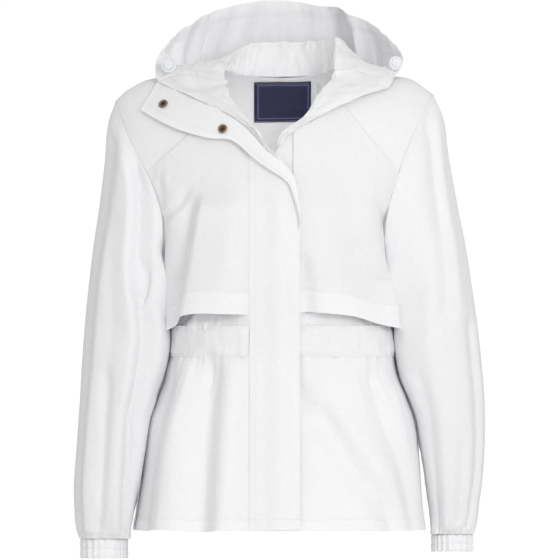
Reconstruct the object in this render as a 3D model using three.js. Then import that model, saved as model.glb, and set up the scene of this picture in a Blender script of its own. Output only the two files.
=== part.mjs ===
// A women's light hooded rain jacket, filled out as if worn, with nobody inside.
// Millimetres, +Z up. The wearer faces -Y, so the wearer's right is at -X.
// The origin is between the shoulders at the base of the neck, where the wearer carries the jacket.
import * as THREE from "three";

// Driving sizes
const WALL = 1.4; // cloth wall
const SEAM = 0.4; // gap between pieces at a seam
const HEM_Z = -627;
const CHEST_Z = -120; // above this height the panels round over to the shoulder line
const UNDERARM_Z = -275;
const WAIST_TOP_Z = -341; // casing of the waist cord
const WAIST_BOTTOM_Z = -384;
const CENTRE_FRONT_X = -8; // where the two fronts meet, under the placket
const PLACKET_LEFT_X = -41; // sewn edge of the placket
const PLACKET_RIGHT_X = 29; // free edge of the placket
const PLACKET_LIFT = { sewn: 2.4, free: 6.4 }; // placket above the fronts at its two edges
const ROLL_LIFT = 3; // extra lift of the placket where its top rolls over
const FLAP_LEFT_X = 20; // edge of the left storm flap, under the placket
const FLAP_LIFT = 2.4; // storm flaps above the fronts along their seams
const FLAP_HEM_LIFT = 6.8; // further lift at their lower edges
const CASING_LEFT_X = 22; // end of the left waist casing, under the placket
const CASING_LIFT = 2.7;
const CASING_WALL = 1.2;
const SLEEVE_CLEAR = 1.6; // sleeve to body side
const UNDERARM_EASE = 2.4; // the panels stop this much shorter where the armhole turns under the arm
const FLAP_SIDE_ANGLE = 74; // degrees round from centre front where the storm flaps stop below the arm
const SNAP_RADIUS = 6.6;
const SNAP_DEPTH = 2.2;
const LABEL_WIDTH = 80;
const LABEL_DEPTH = 56;
const CORD_LOCK_RADIUS = 11;
const CORD_LOCK_DEPTH = 9;

// Torso sections: half widths to the wearer's right and left, depths to front and back,
// and the power of the rounded section (2 is an ellipse).
const TORSO = [
  { z: -627, right: 203, left: 202, front: 150, back: 142, power: 2.15 },
  { z: -571, right: 196, left: 197, front: 143, back: 136, power: 2.15 },
  { z: -515, right: 189, left: 195, front: 134, back: 127, power: 2.2 },
  { z: -473, right: 182, left: 190, front: 126, back: 118, power: 2.2 },
  { z: -445, right: 172, left: 180, front: 121, back: 112, power: 2.25 },
  { z: -410, right: 160, left: 166, front: 117, back: 104, power: 2.3 },
  { z: -370, right: 150, left: 160, front: 116, back: 99, power: 2.3 },
  { z: -330, right: 154, left: 158, front: 121, back: 102, power: 2.25 },
  { z: -300, right: 158, left: 153, front: 127, back: 107, power: 2.2 },
  { z: -275, right: 160, left: 150, front: 131, back: 111, power: 2.15 },
  { z: -240, right: 172, left: 164, front: 133, back: 114, power: 2.05 },
  { z: -195, right: 195, left: 184, front: 133, back: 114, power: 2.0 },
  { z: -165, right: 212, left: 203, front: 128, back: 111, power: 1.95 },
  { z: -120, right: 240, left: 232, front: 118, back: 105, power: 1.9 },
];

// Shoulder line: height at each distance from the middle.
const SHOULDER = [
  { x: 0, right: 21, left: 21 },
  { x: 84, right: 17, left: 17 },
  { x: 120, right: 12, left: 13 },
  { x: 150, right: 8, left: 9 },
  { x: 185, right: 2, left: 3 },
  { x: 205, right: -8, left: -10 },
  { x: 216, right: -15, left: -18 },
  { x: 229, right: -28, left: -32 },
];

// Armhole seams: distance from the middle at each height, on the front and on the back.
const ARMHOLE_RIGHT = [
  { z: -275, front: 160, back: 160 },
  { z: -240, front: 162, back: 166 },
  { z: -207, front: 161, back: 171 },
  { z: -180, front: 165, back: 177 },
  { z: -150, front: 175, back: 186 },
  { z: -122, front: 188, back: 197 },
  { z: -74, front: 212, back: 215 },
  { z: -28, front: 229, back: 229 },
];
const ARMHOLE_LEFT = [
  { z: -275, front: 150, back: 150 },
  { z: -240, front: 148, back: 156 },
  { z: -207, front: 148, back: 162 },
  { z: -175, front: 153, back: 170 },
  { z: -150, front: 160, back: 178 },
  { z: -125, front: 168, back: 187 },
  { z: -80, front: 186, back: 202 },
  { z: -18, front: 216, back: 216 },
];

// Upper edge of each front below its yoke: the slanting yoke seam, then the neckline down to the V.
const FRONT_TOP_RIGHT = [
  { x: 9, z: -111 },
  { x: 22, z: -97 },
  { x: 36, z: -83 },
  { x: 47, z: -69 },
  { x: 62, z: -53 },
  { x: 80, z: -31 },
  { x: 130, z: -78 },
  { x: 190, z: -133 },
];
const FRONT_TOP_LEFT = [
  { x: -7, z: -109 },
  { x: -2, z: -92 },
  { x: 4, z: -79 },
  { x: 14, z: -68 },
  { x: 30, z: -61 },
  { x: 46, z: -55 },
  { x: 64, z: -42 },
  { x: 82, z: -29 },
  { x: 120, z: -72 },
  { x: 176, z: -140 },
];
const YOKE_NECK_X = { right: 80, left: 82 }; // where the yoke seam reaches the neckline
const NECK_HALF = 84; // half width of the neckline at the shoulder
const NECK_BACK_Z = 6;

// Lower edge of each storm flap.
const FLAP_EDGE_RIGHT = [
  { x: 41, z: -326 },
  { x: 70, z: -323 },
  { x: 104, z: -321 },
  { x: 124, z: -326 },
  { x: 135, z: -338 },
  { x: 152, z: -352 },
];
const FLAP_EDGE_LEFT = [
  { x: 20, z: -324 },
  { x: 49, z: -321 },
  { x: 99, z: -327 },
  { x: 130, z: -338 },
  { x: 158, z: -348 },
];

// Upper edge of the placket, along the roll where its top turns out.
const PLACKET_TOP = [
  { x: -41, z: -101 },
  { x: -20, z: -106 },
  { x: -6, z: -114 },
  { x: 4, z: -121 },
  { x: 14, z: -132 },
  { x: 22, z: -149 },
  { x: 27, z: -172 },
  { x: 29, z: -200 },
];

// Turned out top of the placket: free edge and sewn edge, each with its lift off the front.
const FACING = [
  { freeX: 29, freeZ: -205, freeLift: 12, sewnX: 30.5, sewnZ: -199, sewnLift: 12 },
  { freeX: 27, freeZ: -186, freeLift: 12, sewnX: 29, sewnZ: -174, sewnLift: 13 },
  { freeX: 17, freeZ: -151, freeLift: 12.5, sewnX: 23, sewnZ: -145, sewnLift: 14 },
  { freeX: 8, freeZ: -138, freeLift: 12.5, sewnX: 15, sewnZ: -129, sewnLift: 15 },
  { freeX: -10, freeZ: -126, freeLift: 12, sewnX: 1, sewnZ: -114, sewnLift: 16 },
  { freeX: -38, freeZ: -105, freeLift: 11, sewnX: -19, sewnZ: -97, sewnLift: 16 },
  { freeX: -66, freeZ: -83, freeLift: 11, sewnX: -46, sewnZ: -67, sewnLift: 16 },
  { freeX: -98, freeZ: -80, freeLift: 11, sewnX: -76, sewnZ: -46, sewnLift: 14 },
  { freeX: -137, freeZ: -69, freeLift: 10, sewnX: -108, sewnZ: -32, sewnLift: 12 },
  { freeX: -165, freeZ: -57, freeLift: 9, sewnX: -140, sewnZ: -18, sewnLift: 11 },
  { freeX: -194, freeZ: -40, freeLift: 8, sewnX: -171, sewnZ: -3, sewnLift: 10 },
];

// Collar sections of the wearer's right, from the V up: neck seam, roll and outer edge.
const COLLAR_RIGHT = [
  { neckX: -10, neckZ: -109, rollX: -6, rollZ: -106, rollLift: 12, edgeX: 0, edgeZ: -110, edgeLift: 15 },
  { neckX: -24, neckZ: -93, rollX: -13, rollZ: -97, rollLift: 15, edgeX: -19, edgeZ: -94, edgeLift: 16 },
  { neckX: -35, neckZ: -80, rollX: -21, rollZ: -86, rollLift: 17, edgeX: -33, edgeZ: -77, edgeLift: 17 },
  { neckX: -47, neckZ: -66, rollX: -30, rollZ: -70, rollLift: 18, edgeX: -46, edgeZ: -64, edgeLift: 16 },
  { neckX: -61, neckZ: -50, rollX: -49, rollZ: -50, rollLift: 18, edgeX: -66, edgeZ: -50, edgeLift: 15 },
  { neckX: -73, neckZ: -36, rollX: -60, rollZ: -34, rollLift: 18, edgeX: -88, edgeZ: -38, edgeLift: 14 },
  { neckX: -79, neckZ: -24, rollX: -68, rollZ: -19, rollLift: 17, edgeX: -115, edgeZ: -27, edgeLift: 13 },
  { neckX: -81, neckZ: -12, rollX: -73, rollZ: -7, rollLift: 16, edgeX: -145, edgeZ: -13, edgeLift: 12 },
];
const COLLAR_LEFT = [
  { neckX: 82, neckZ: -10, rollX: 74, rollZ: 2, rollLift: 16, edgeX: 152, edgeZ: -10, edgeLift: 10 },
  { neckX: 80, neckZ: -22, rollX: 66, rollZ: -7, rollLift: 17, edgeX: 132, edgeZ: -16, edgeLift: 11 },
  { neckX: 72, neckZ: -32, rollX: 57, rollZ: -17, rollLift: 17, edgeX: 108, edgeZ: -26, edgeLift: 11 },
  { neckX: 63, neckZ: -39, rollX: 49, rollZ: -30, rollLift: 16, edgeX: 86, edgeZ: -35, edgeLift: 10 },
  { neckX: 54, neckZ: -47, rollX: 42, rollZ: -41, rollLift: 14, edgeX: 65, edgeZ: -45, edgeLift: 9 },
  { neckX: 44, neckZ: -53, rollX: 35, rollZ: -51, rollLift: 11, edgeX: 49, edgeZ: -52, edgeLift: 7 },
];

// Hood sections round the neck from the wearer's right to the left, each as points [x, y, z].
const HOOD = [
  {
    neck: [-79, -54, -1], roll: [-75, -66, 3], inner: [-100, -58, 4],
    floor: [-125, -48, 8], outer: [-150, -38, 8], rim: [-170, -34, 3],
  },
  {
    neck: [-80, -30, 12], roll: [-75, -44, 18], inner: [-102, -32, 22],
    floor: [-130, -20, 20], outer: [-156, -12, 19], rim: [-173, -10, 18],
  },
  {
    neck: [-80, 4, 18], roll: [-70, -12, 32], inner: [-98, 6, 29],
    floor: [-128, 18, 21], outer: [-156, 26, 26], rim: [-167, 25, 42],
  },
  {
    neck: [-70, 26, 14], roll: [-60, 18, 43], inner: [-88, 42, 26],
    floor: [-118, 62, 6], outer: [-146, 72, 30], rim: [-141, 65, 70],
  },
  {
    neck: [-50, 38, 10], roll: [-43, 45, 53], inner: [-62, 74, 24],
    floor: [-84, 106, -30], outer: [-108, 125, 14], rim: [-94, 110, 99],
  },
  {
    neck: [-20, 44, 8], roll: [-18, 57, 57], inner: [-24, 86, 14],
    floor: [-34, 126, -80], outer: [-46, 160, -4], rim: [-41, 138, 113],
  },
  {
    neck: [10, 45, 8], roll: [10, 59, 57], inner: [10, 88, 12],
    floor: [12, 130, -88], outer: [16, 168, -6], rim: [15, 145, 115],
  },
  {
    neck: [42, 41, 9], roll: [43, 50, 57], inner: [54, 82, 16],
    floor: [66, 118, -66], outer: [82, 150, 4], rim: [71, 125, 104],
  },
  {
    neck: [68, 28, 13], roll: [68, 24, 59], inner: [90, 54, 26],
    floor: [110, 86, -20], outer: [132, 110, 14], rim: [125, 90, 85],
  },
  {
    neck: [80, 4, 18], roll: [79, -8, 62], inner: [106, 14, 38],
    floor: [132, 40, 14], outer: [158, 58, 26], rim: [160, 45, 56],
  },
  {
    neck: [82, -24, 13], roll: [80, -32, 44], inner: [108, -16, 32],
    floor: [135, 0, 24], outer: [162, 12, 24], rim: [174, 8, 31],
  },
  {
    neck: [82, -48, 2], roll: [77, -58, 16], inner: [104, -46, 16],
    floor: [132, -36, 12], outer: [152, -32, 10], rim: [162, -28, 7],
  },
];
const HOOD_SEAM_ROWS = [4, 8]; // hood rows where the two side panels meet the middle one

// Sleeve sections from the armhole to the cuff: outer side, height of the inner side,
// middle and half depth, room to the body's side, and how much of the armhole's shape is left.
const SLEEVE_RIGHT = [
  { outerX: 229, outerZ: -28, innerZ: -276, midY: 0, depth: 72, room: 0, armhole: 1 },
  { outerX: 240, outerZ: -62, innerZ: -286, midY: -2, depth: 75, room: 0, armhole: 0.72 },
  { outerX: 244, outerZ: -112, innerZ: -298, midY: -4, depth: 76, room: 0, armhole: 0.42 },
  { outerX: 251, outerZ: -172, innerZ: -314, midY: -6, depth: 74, room: 0, armhole: 0.18 },
  { outerX: 260, outerZ: -232, innerZ: -334, midY: -8, depth: 72, room: 0, armhole: 0.05 },
  { outerX: 267, outerZ: -290, innerZ: -356, midY: -9, depth: 70, room: 0, armhole: 0 },
  { outerX: 272, outerZ: -342, innerZ: -382, midY: -10, depth: 68, room: 0, armhole: 0 },
  { outerX: 276, outerZ: -396, innerZ: -414, midY: -11, depth: 66, room: 0, armhole: 0 },
  { outerX: 279, outerZ: -450, innerZ: -456, midY: -12, depth: 64, room: 0, armhole: 0 },
  { outerX: 283, outerZ: -506, innerZ: -507, midY: -13, depth: 62, room: 0, armhole: 0 },
  { outerX: 287, outerZ: -562, innerZ: -562, midY: -14, depth: 60, room: 0, armhole: 0 },
  { outerX: 286, outerZ: -600, innerZ: -600, midY: -15, depth: 54, room: 2, armhole: 0 },
  { outerX: 284, outerZ: -624, innerZ: -624, midY: -15, depth: 44, room: 4, armhole: 0 },
  { outerX: 279, outerZ: -639, innerZ: -639, midY: -15, depth: 34, room: 6, armhole: 0 },
];
const SLEEVE_LEFT = [
  { outerX: 216, outerZ: -18, innerZ: -276, midY: 0, depth: 72, room: 0, armhole: 1 },
  { outerX: 231, outerZ: -54, innerZ: -286, midY: 0, depth: 75, room: 0, armhole: 0.72 },
  { outerX: 238, outerZ: -106, innerZ: -298, midY: 1, depth: 76, room: 0, armhole: 0.42 },
  { outerX: 249, outerZ: -168, innerZ: -314, midY: 2, depth: 74, room: 0, armhole: 0.18 },
  { outerX: 261, outerZ: -228, innerZ: -332, midY: 3, depth: 72, room: 0, armhole: 0.05 },
  { outerX: 270, outerZ: -286, innerZ: -354, midY: 4, depth: 70, room: 0, armhole: 0 },
  { outerX: 278, outerZ: -342, innerZ: -382, midY: 6, depth: 68, room: 0, armhole: 0 },
  { outerX: 284, outerZ: -396, innerZ: -414, midY: 8, depth: 66, room: 0, armhole: 0 },
  { outerX: 288, outerZ: -450, innerZ: -456, midY: 10, depth: 64, room: 0, armhole: 0 },
  { outerX: 288, outerZ: -505, innerZ: -507, midY: 11, depth: 62, room: 1, armhole: 0 },
  { outerX: 285, outerZ: -556, innerZ: -556, midY: 12, depth: 58, room: 7, armhole: 0 },
  { outerX: 280, outerZ: -594, innerZ: -594, midY: 13, depth: 50, room: 10, armhole: 0 },
  { outerX: 277, outerZ: -618, innerZ: -618, midY: 13, depth: 40, room: 10, armhole: 0 },
  { outerX: 273, outerZ: -633, innerZ: -633, midY: 13, depth: 31, room: 10, armhole: 0 },
];
const CUFF_RIGHT = { x: -245, y: -15, top: -639, bottom: -666, halfWidth: 32.6, halfDepth: 32.4 };
const CUFF_LEFT = { x: 242.4, y: 13, top: -633, bottom: -657, halfWidth: 28.6, halfDepth: 29.4 };

// Main folds of the skirt below the waist: distance from the middle at the top and at the hem,
// height where each starts, width and depth (a trough is negative).
const SKIRT_FOLDS = [
  { front: true, topX: -90, hemX: -102, start: -390, width: 13, depth: -13 },
  { front: true, topX: -70, hemX: -74, start: -390, width: 13, depth: 7 },
  { front: true, topX: -120, hemX: -132, start: -394, width: 14, depth: 8 },
  { front: true, topX: -146, hemX: -172, start: -395, width: 12, depth: -8 },
  { front: true, topX: 60, hemX: 128, start: -400, width: 14, depth: -8 },
  { front: true, topX: 76, hemX: 156, start: -392, width: 14, depth: 7 },
  { front: true, topX: 132, hemX: 182, start: -392, width: 10, depth: -7 },
  { front: false, topX: -118, hemX: -140, start: -394, width: 15, depth: -11 },
  { front: false, topX: -78, hemX: -92, start: -390, width: 14, depth: 8 },
  { front: false, topX: -36, hemX: -44, start: -390, width: 14, depth: -10 },
  { front: false, topX: 6, hemX: 4, start: -394, width: 15, depth: 7 },
  { front: false, topX: 44, hemX: 52, start: -390, width: 14, depth: -11 },
  { front: false, topX: 86, hemX: 104, start: -390, width: 15, depth: 8 },
  { front: false, topX: 124, hemX: 148, start: -394, width: 13, depth: -10 },
];

// Sleeve creases: turn round the sleeve from its outer side over the front, in degrees,
// stretch along the sleeve from 0 at the armhole to 1 at the cuff, width in degrees and depth.
const SLEEVE_CREASES = [
  { turn: 118, from: 0.42, to: 0.98, width: 13, depth: -8 },
  { turn: 48, from: 0.1, to: 0.7, width: 14, depth: -6 },
  { turn: 88, from: 0.6, to: 0.95, width: 14, depth: 4 },
  { turn: 238, from: 0.3, to: 0.9, width: 15, depth: -8 },
  { turn: 300, from: 0.12, to: 0.75, width: 15, depth: -7 },
];

const GATHER_PITCH = 11; // along the waist casing
const GATHER_DEPTH = 0.7;
const CUFF_GATHERS = 22;
const CUFF_GATHER_DEPTH = 1.3;

// Smooth value of one column of a table whose key column rises or falls steadily.
function lookUp(rows, key, column, at) {
  const rising = rows[0][key] < rows[rows.length - 1][key];
  const sorted = rising ? rows : [...rows].reverse();
  const last = sorted.length - 1;
  const place = THREE.MathUtils.clamp(at, sorted[0][key], sorted[last][key]);
  let i = 0;
  while (i < last - 1 && sorted[i + 1][key] < place) i += 1;
  const slope = (j) => {
    const a = sorted[Math.max(j - 1, 0)];
    const b = sorted[Math.min(j + 1, last)];
    return (b[column] - a[column]) / (b[key] - a[key]);
  };
  const span = sorted[i + 1][key] - sorted[i][key];
  const t = (place - sorted[i][key]) / span;
  const fall = (1 + 2 * t) * (1 - t) ** 2;
  const rise = t * t * (3 - 2 * t);
  const leave = t * (1 - t) ** 2 * span * slope(i);
  const arrive = t * t * (t - 1) * span * slope(i + 1);
  return fall * sorted[i][column] + rise * sorted[i + 1][column] + leave + arrive;
}

function smoothStep(value) {
  const t = THREE.MathUtils.clamp(value, 0, 1);
  return t * t * (3 - 2 * t);
}

function bump(distance, width) {
  return Math.exp(-((distance / width) ** 2));
}

const lerp = THREE.MathUtils.lerp;
const radians = THREE.MathUtils.degToRad;

// The torso's surface. An address on it is {side, turn, rise}: side is 1 at the front and -1 at
// the back, turn runs from -90 degrees (wearer's right) over 0 (centre) to 90 (left), and rise
// runs from 0 at the hem to 1 at the chest line and to 2 at the shoulder line.
function halfWidth(z, sign) {
  return lookUp(TORSO, "z", sign < 0 ? "right" : "left", z);
}

function shoulderHeight(x) {
  return lookUp(SHOULDER, "x", x < 0 ? "right" : "left", Math.abs(x));
}

function skirtFold(side, x, z) {
  return SKIRT_FOLDS.filter((fold) => fold.front === side > 0).reduce((sum, fold) => {
    const down = THREE.MathUtils.clamp((fold.start - z) / (fold.start - HEM_Z), 0, 1);
    const middle = lerp(fold.topX, fold.hemX, down);
    return sum + fold.depth * smoothStep(down * 2.2) * bump(x - middle, fold.width * (0.8 + 0.5 * down));
  }, 0);
}

function torsoPoint({ side, turn, rise }) {
  const sign = turn < 0 ? -1 : 1;
  const angle = radians(Math.abs(turn));
  const low = Math.min(rise, 1);
  const sectionZ = lerp(HEM_Z, CHEST_Z, low);
  const power = lookUp(TORSO, "z", "power", sectionZ);
  const depth = lookUp(TORSO, "z", side > 0 ? "front" : "back", sectionZ);
  const x = sign * halfWidth(sectionZ, sign) * Math.sin(angle) ** (2 / power);
  const y = -side * depth * Math.max(Math.cos(angle), 0) ** (2 / power);
  if (rise <= 1) {
    const fold = skirtFold(side, x, sectionZ);
    return new THREE.Vector3(x, y - side * fold * Math.cos(angle), sectionZ);
  }
  const over = radians(90 * (2 - rise));
  const top = shoulderHeight(x);
  return new THREE.Vector3(x, y * Math.sin(over), top - (1 - Math.cos(over)) * (top - CHEST_Z));
}

// The address of the surface point with a given x and z.
function addressOf(side, x, z) {
  const sign = x < 0 ? -1 : 1;
  const sectionZ = Math.min(z, CHEST_Z);
  const power = lookUp(TORSO, "z", "power", sectionZ);
  const share = THREE.MathUtils.clamp(Math.abs(x) / halfWidth(sectionZ, sign), 0, 1);
  const turn = sign * THREE.MathUtils.radToDeg(Math.asin(share ** (power / 2)));
  if (z <= CHEST_Z) return { side, turn, rise: (z - HEM_Z) / (CHEST_Z - HEM_Z) };
  const top = shoulderHeight(x);
  const over = Math.acos(THREE.MathUtils.clamp(1 - (top - z) / (top - CHEST_Z), 0, 1));
  return { side, turn, rise: 2 - THREE.MathUtils.radToDeg(over) / 90 };
}

function torsoNormal(address) {
  const step = 0.01;
  const at = (turn, rise) => torsoPoint({ side: address.side, turn, rise });
  const turn = THREE.MathUtils.clamp(address.turn, -89, 89);
  const rise = THREE.MathUtils.clamp(address.rise, step, 2 - step);
  const across = at(turn + 0.5, rise).sub(at(turn - 0.5, rise));
  const up = at(turn, rise + step).sub(at(turn, rise - step));
  return across.cross(up).multiplyScalar(address.side).normalize();
}

function lifted(address, lift) {
  return torsoPoint(address).addScaledVector(torsoNormal(address), lift);
}

// A point over the front, given its x, z and lift as they are seen from the front.
function overFront(x, z, lift) {
  const address = addressOf(1, x, z);
  const point = torsoPoint(address);
  const normal = torsoNormal(address);
  const forward = lift * Math.min(normal.y, -0.55);
  return new THREE.Vector3(x, point.y + forward, z + lift * 0.25 * Math.max(normal.z, 0));
}

// A closed wall from a surface: cells across and up, wall thickness behind the surface.
// A surface that closes on itself across has no side edges.
function wall(name, material, surface, cellsAcross, cellsUp, options = {}) {
  const { thickness = WALL, closed = false, flip = false } = options;
  const columns = closed ? cellsAcross : cellsAcross + 1;
  const rows = cellsUp + 1;
  const outer = [];
  for (let j = 0; j < rows; j += 1) {
    for (let i = 0; i < columns; i += 1) outer.push(surface(i / cellsAcross, j / cellsUp));
  }
  const at = (i, j) => {
    const column = closed ? (i + columns) % columns : THREE.MathUtils.clamp(i, 0, columns - 1);
    return outer[THREE.MathUtils.clamp(j, 0, rows - 1) * columns + column];
  };
  const inner = outer.map((point, index) => {
    const i = index % columns;
    const j = Math.floor(index / columns);
    const across = at(i + 1, j).clone().sub(at(i - 1, j));
    const up = at(i, j + 1).clone().sub(at(i, j - 1));
    const normal = across.cross(up).normalize();
    return point.clone().addScaledVector(normal, flip ? thickness : -thickness);
  });
  const points = [...outer, ...inner];
  const back = outer.length;
  const faces = [];
  const quad = (a, b, c, d) => faces.push(a, b, c, a, c, d);
  const id = (i, j) => j * columns + (closed ? i % columns : i);
  for (let j = 0; j < cellsUp; j += 1) {
    for (let i = 0; i < cellsAcross; i += 1) {
      quad(id(i, j), id(i + 1, j), id(i + 1, j + 1), id(i, j + 1));
      quad(back + id(i, j), back + id(i, j + 1), back + id(i + 1, j + 1), back + id(i + 1, j));
    }
  }
  for (let i = 0; i < cellsAcross; i += 1) {
    quad(id(i + 1, 0), id(i, 0), back + id(i, 0), back + id(i + 1, 0));
    quad(id(i, cellsUp), id(i + 1, cellsUp), back + id(i + 1, cellsUp), back + id(i, cellsUp));
  }
  if (!closed) {
    for (let j = 0; j < cellsUp; j += 1) {
      quad(id(0, j), id(0, j + 1), back + id(0, j + 1), back + id(0, j));
      const [low, high] = [id(cellsAcross, j), id(cellsAcross, j + 1)];
      quad(high, low, back + low, back + high);
    }
  }
  return meshOf(name, material, points, faces);
}

function meshOf(name, material, points, faces) {
  const signedVolume = faces.reduce((sum, _, k) => {
    if (k % 3 !== 0) return sum;
    const [a, b, c] = [points[faces[k]], points[faces[k + 1]], points[faces[k + 2]]];
    return sum + a.dot(b.clone().cross(c));
  }, 0);
  const turned = signedVolume < 0 ? [...faces].reverse() : faces;
  const geometry = new THREE.BufferGeometry();
  geometry.setAttribute("position", new THREE.Float32BufferAttribute(points.flatMap((p) => p.toArray()), 3));
  geometry.setIndex(turned);
  geometry.computeVertexNormals();
  const mesh = new THREE.Mesh(geometry, material);
  mesh.name = name;
  return mesh;
}

const shell = new THREE.MeshStandardMaterial({ color: 0xeef0f2, roughness: 0.62, metalness: 0 });
const trim = new THREE.MeshStandardMaterial({ color: 0xe4e6e8, roughness: 0.5, metalness: 0 });
const navy = new THREE.MeshStandardMaterial({ color: 0x23234a, roughness: 0.8, metalness: 0 });
const metal = new THREE.MeshStandardMaterial({ color: 0x6e5a48, roughness: 0.35, metalness: 0.9 });
const jacket = new THREE.Group();

// Edges of the panels, as turns at a given rise
function riseOf(z) {
  return (z - HEM_Z) / (CHEST_Z - HEM_Z);
}

// Turn of the armhole or side seam at a rise, a seam gap short of it.
function outerTurn(side, sign, rise) {
  const armhole = sign < 0 ? ARMHOLE_RIGHT : ARMHOLE_LEFT;
  const column = side > 0 ? "front" : "back";
  const z = lerp(HEM_Z, CHEST_Z, Math.min(rise, 1));
  if (z < UNDERARM_Z) return sign * 89.6;
  const inset = SEAM + UNDERARM_EASE * bump(z - UNDERARM_Z - 12, 16);
  if (rise <= 1) return addressOf(side, sign * (lookUp(armhole, "z", column, z) - inset), z).turn;
  let low = 0;
  let high = 89;
  for (let k = 0; k < 30; k += 1) {
    const turn = (low + high) / 2;
    const point = torsoPoint({ side, turn: sign * turn, rise });
    if (Math.abs(point.x) < lookUp(armhole, "z", column, point.z) - SEAM) low = turn;
    else high = turn;
  }
  return sign * low;
}

// The rise at which a line of the panel reaches an edge given as heights over x.
function riseToEdge(side, turnAt, edge, sign, gap) {
  let low = 0.02;
  let high = 1.995;
  for (let k = 0; k < 40; k += 1) {
    const rise = (low + high) / 2;
    const point = torsoPoint({ side, turn: turnAt(rise), rise });
    if (point.z < lookUp(edge, "x", "z", sign * point.x) + gap) low = rise;
    else high = rise;
  }
  return low;
}

// The rise at which a panel stops, a seam gap short of the shoulder line.
function shoulderRise(side, turn) {
  const depth = Math.abs(torsoPoint({ side, turn, rise: 1 }).y);
  return 2 - THREE.MathUtils.radToDeg(Math.asin(SEAM / depth)) / 90;
}

// Rows of a full length panel: level at the waist casing and the underarm, then up to its top.
const LEVELS = [
  { row: 0, z: HEM_Z },
  { row: 8, z: WAIST_BOTTOM_Z - 4 },
  { row: 10, z: WAIST_TOP_Z + 4 },
  { row: 12, z: UNDERARM_Z },
];
const PANEL_ROWS = 21;

function levelRise(v, top) {
  const row = v * PANEL_ROWS;
  const last = LEVELS[LEVELS.length - 1];
  if (row >= last.row) return lerp(riseOf(last.z), top, (row - last.row) / (PANEL_ROWS - last.row));
  const i = LEVELS.findIndex((level) => level.row > row);
  const [from, to] = [LEVELS[i - 1], LEVELS[i]];
  return riseOf(lerp(from.z, to.z, (row - from.row) / (to.row - from.row)));
}

function panel(name, side, sign, edges, cellsAcross, cellsUp, lift = () => 0) {
  const surface = (u, v) => {
    const turnAt = (rise) => lerp(edges.outer(rise), edges.inner(rise), u);
    const top = edges.top(turnAt);
    const rise = edges.bottom ? lerp(edges.bottom(turnAt), top, v) : levelRise(v, top);
    return lifted({ side, turn: turnAt(rise), rise }, lift(u, v));
  };
  return wall(name, shell, surface, cellsAcross, cellsUp, { flip: side * sign > 0 });
}

function turnAtX(side, x) {
  return (rise) => addressOf(side, x, Math.min(lerp(HEM_Z, CHEST_Z, rise), CHEST_Z)).turn;
}

// Fronts
function front(name, sign) {
  const edge = sign < 0 ? FRONT_TOP_RIGHT : FRONT_TOP_LEFT;
  const centreX = CENTRE_FRONT_X + sign * 1.6 * SEAM;
  return panel(name, 1, sign, {
    outer: (rise) => outerTurn(1, sign, rise),
    inner: turnAtX(1, centreX),
    top: (turnAt) => riseToEdge(1, turnAt, edge, sign, -1.5 * SEAM),
  }, 11, PANEL_ROWS);
}

// Yokes, between the slanting seam, the neckline, the shoulder and the armhole
function yoke(name, sign) {
  const edge = sign < 0 ? FRONT_TOP_RIGHT : FRONT_TOP_LEFT;
  const neckX = sign < 0 ? YOKE_NECK_X.right : YOKE_NECK_X.left;
  const neckTurn = (rise) => addressOf(1, sign * lerp(neckX, NECK_HALF, smoothStep(rise - 1)), CHEST_Z).turn;
  return panel(name, 1, sign, {
    outer: (rise) => outerTurn(1, sign, rise),
    inner: neckTurn,
    bottom: (turnAt) => riseToEdge(1, turnAt, edge, sign, 1.5 * SEAM),
    top: (turnAt) => shoulderRise(1, turnAt(2)),
  }, 8, 7);
}

// Storm flaps, sewn into the yoke seam and hanging free over the waist
function stormFlap(name, sign) {
  const edge = sign < 0 ? FRONT_TOP_RIGHT : FRONT_TOP_LEFT;
  const hem = sign < 0 ? FLAP_EDGE_RIGHT : FLAP_EDGE_LEFT;
  const innerX = sign < 0 ? PLACKET_LEFT_X - SEAM : FLAP_LEFT_X;
  const limit = sign * FLAP_SIDE_ANGLE;
  return panel(name, 1, sign, {
    outer: (rise) => {
      const side = outerTurn(1, sign, rise) - sign * 0.9;
      const z = lerp(HEM_Z, CHEST_Z, Math.min(rise, 1));
      const below = smoothStep((UNDERARM_Z + 50 - z) / 50);
      return Math.abs(side) < FLAP_SIDE_ANGLE ? side : lerp(side, limit, Math.max(below, 0.35));
    },
    inner: turnAtX(1, innerX),
    bottom: (turnAt) => riseToEdge(1, turnAt, hem, sign, 0),
    top: (turnAt) => riseToEdge(1, turnAt, edge, sign, -1.5),
  }, 11, 9, (u, v) => {
    const across = (0.5 + 0.5 * smoothStep(u * 4)) * smoothStep((1 - u) * 5);
    return FLAP_LIFT + FLAP_HEM_LIFT * across * (1 - v) ** 2;
  });
}

// Back, one piece from the hem to the shoulders
function backPanel() {
  const neck = (x) => NECK_BACK_Z + (17 - NECK_BACK_Z) * Math.min(Math.abs(x) / NECK_HALF, 1) ** 2;
  const surface = (u, v) => {
    const turnAt = (rise) => lerp(outerTurn(-1, -1, rise), outerTurn(-1, 1, rise), u);
    let low = 1.2;
    let high = shoulderRise(-1, turnAt(2));
    for (let k = 0; k < 40; k += 1) {
      const rise = (low + high) / 2;
      const point = torsoPoint({ side: -1, turn: turnAt(rise), rise });
      if (Math.abs(point.x) >= NECK_HALF || point.z < neck(point.x)) low = rise;
      else high = rise;
    }
    const rise = levelRise(v, low);
    return torsoPoint({ side: -1, turn: turnAt(rise), rise });
  };
  return wall("back", shell, surface, 20, PANEL_ROWS, { flip: true });
}

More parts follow.
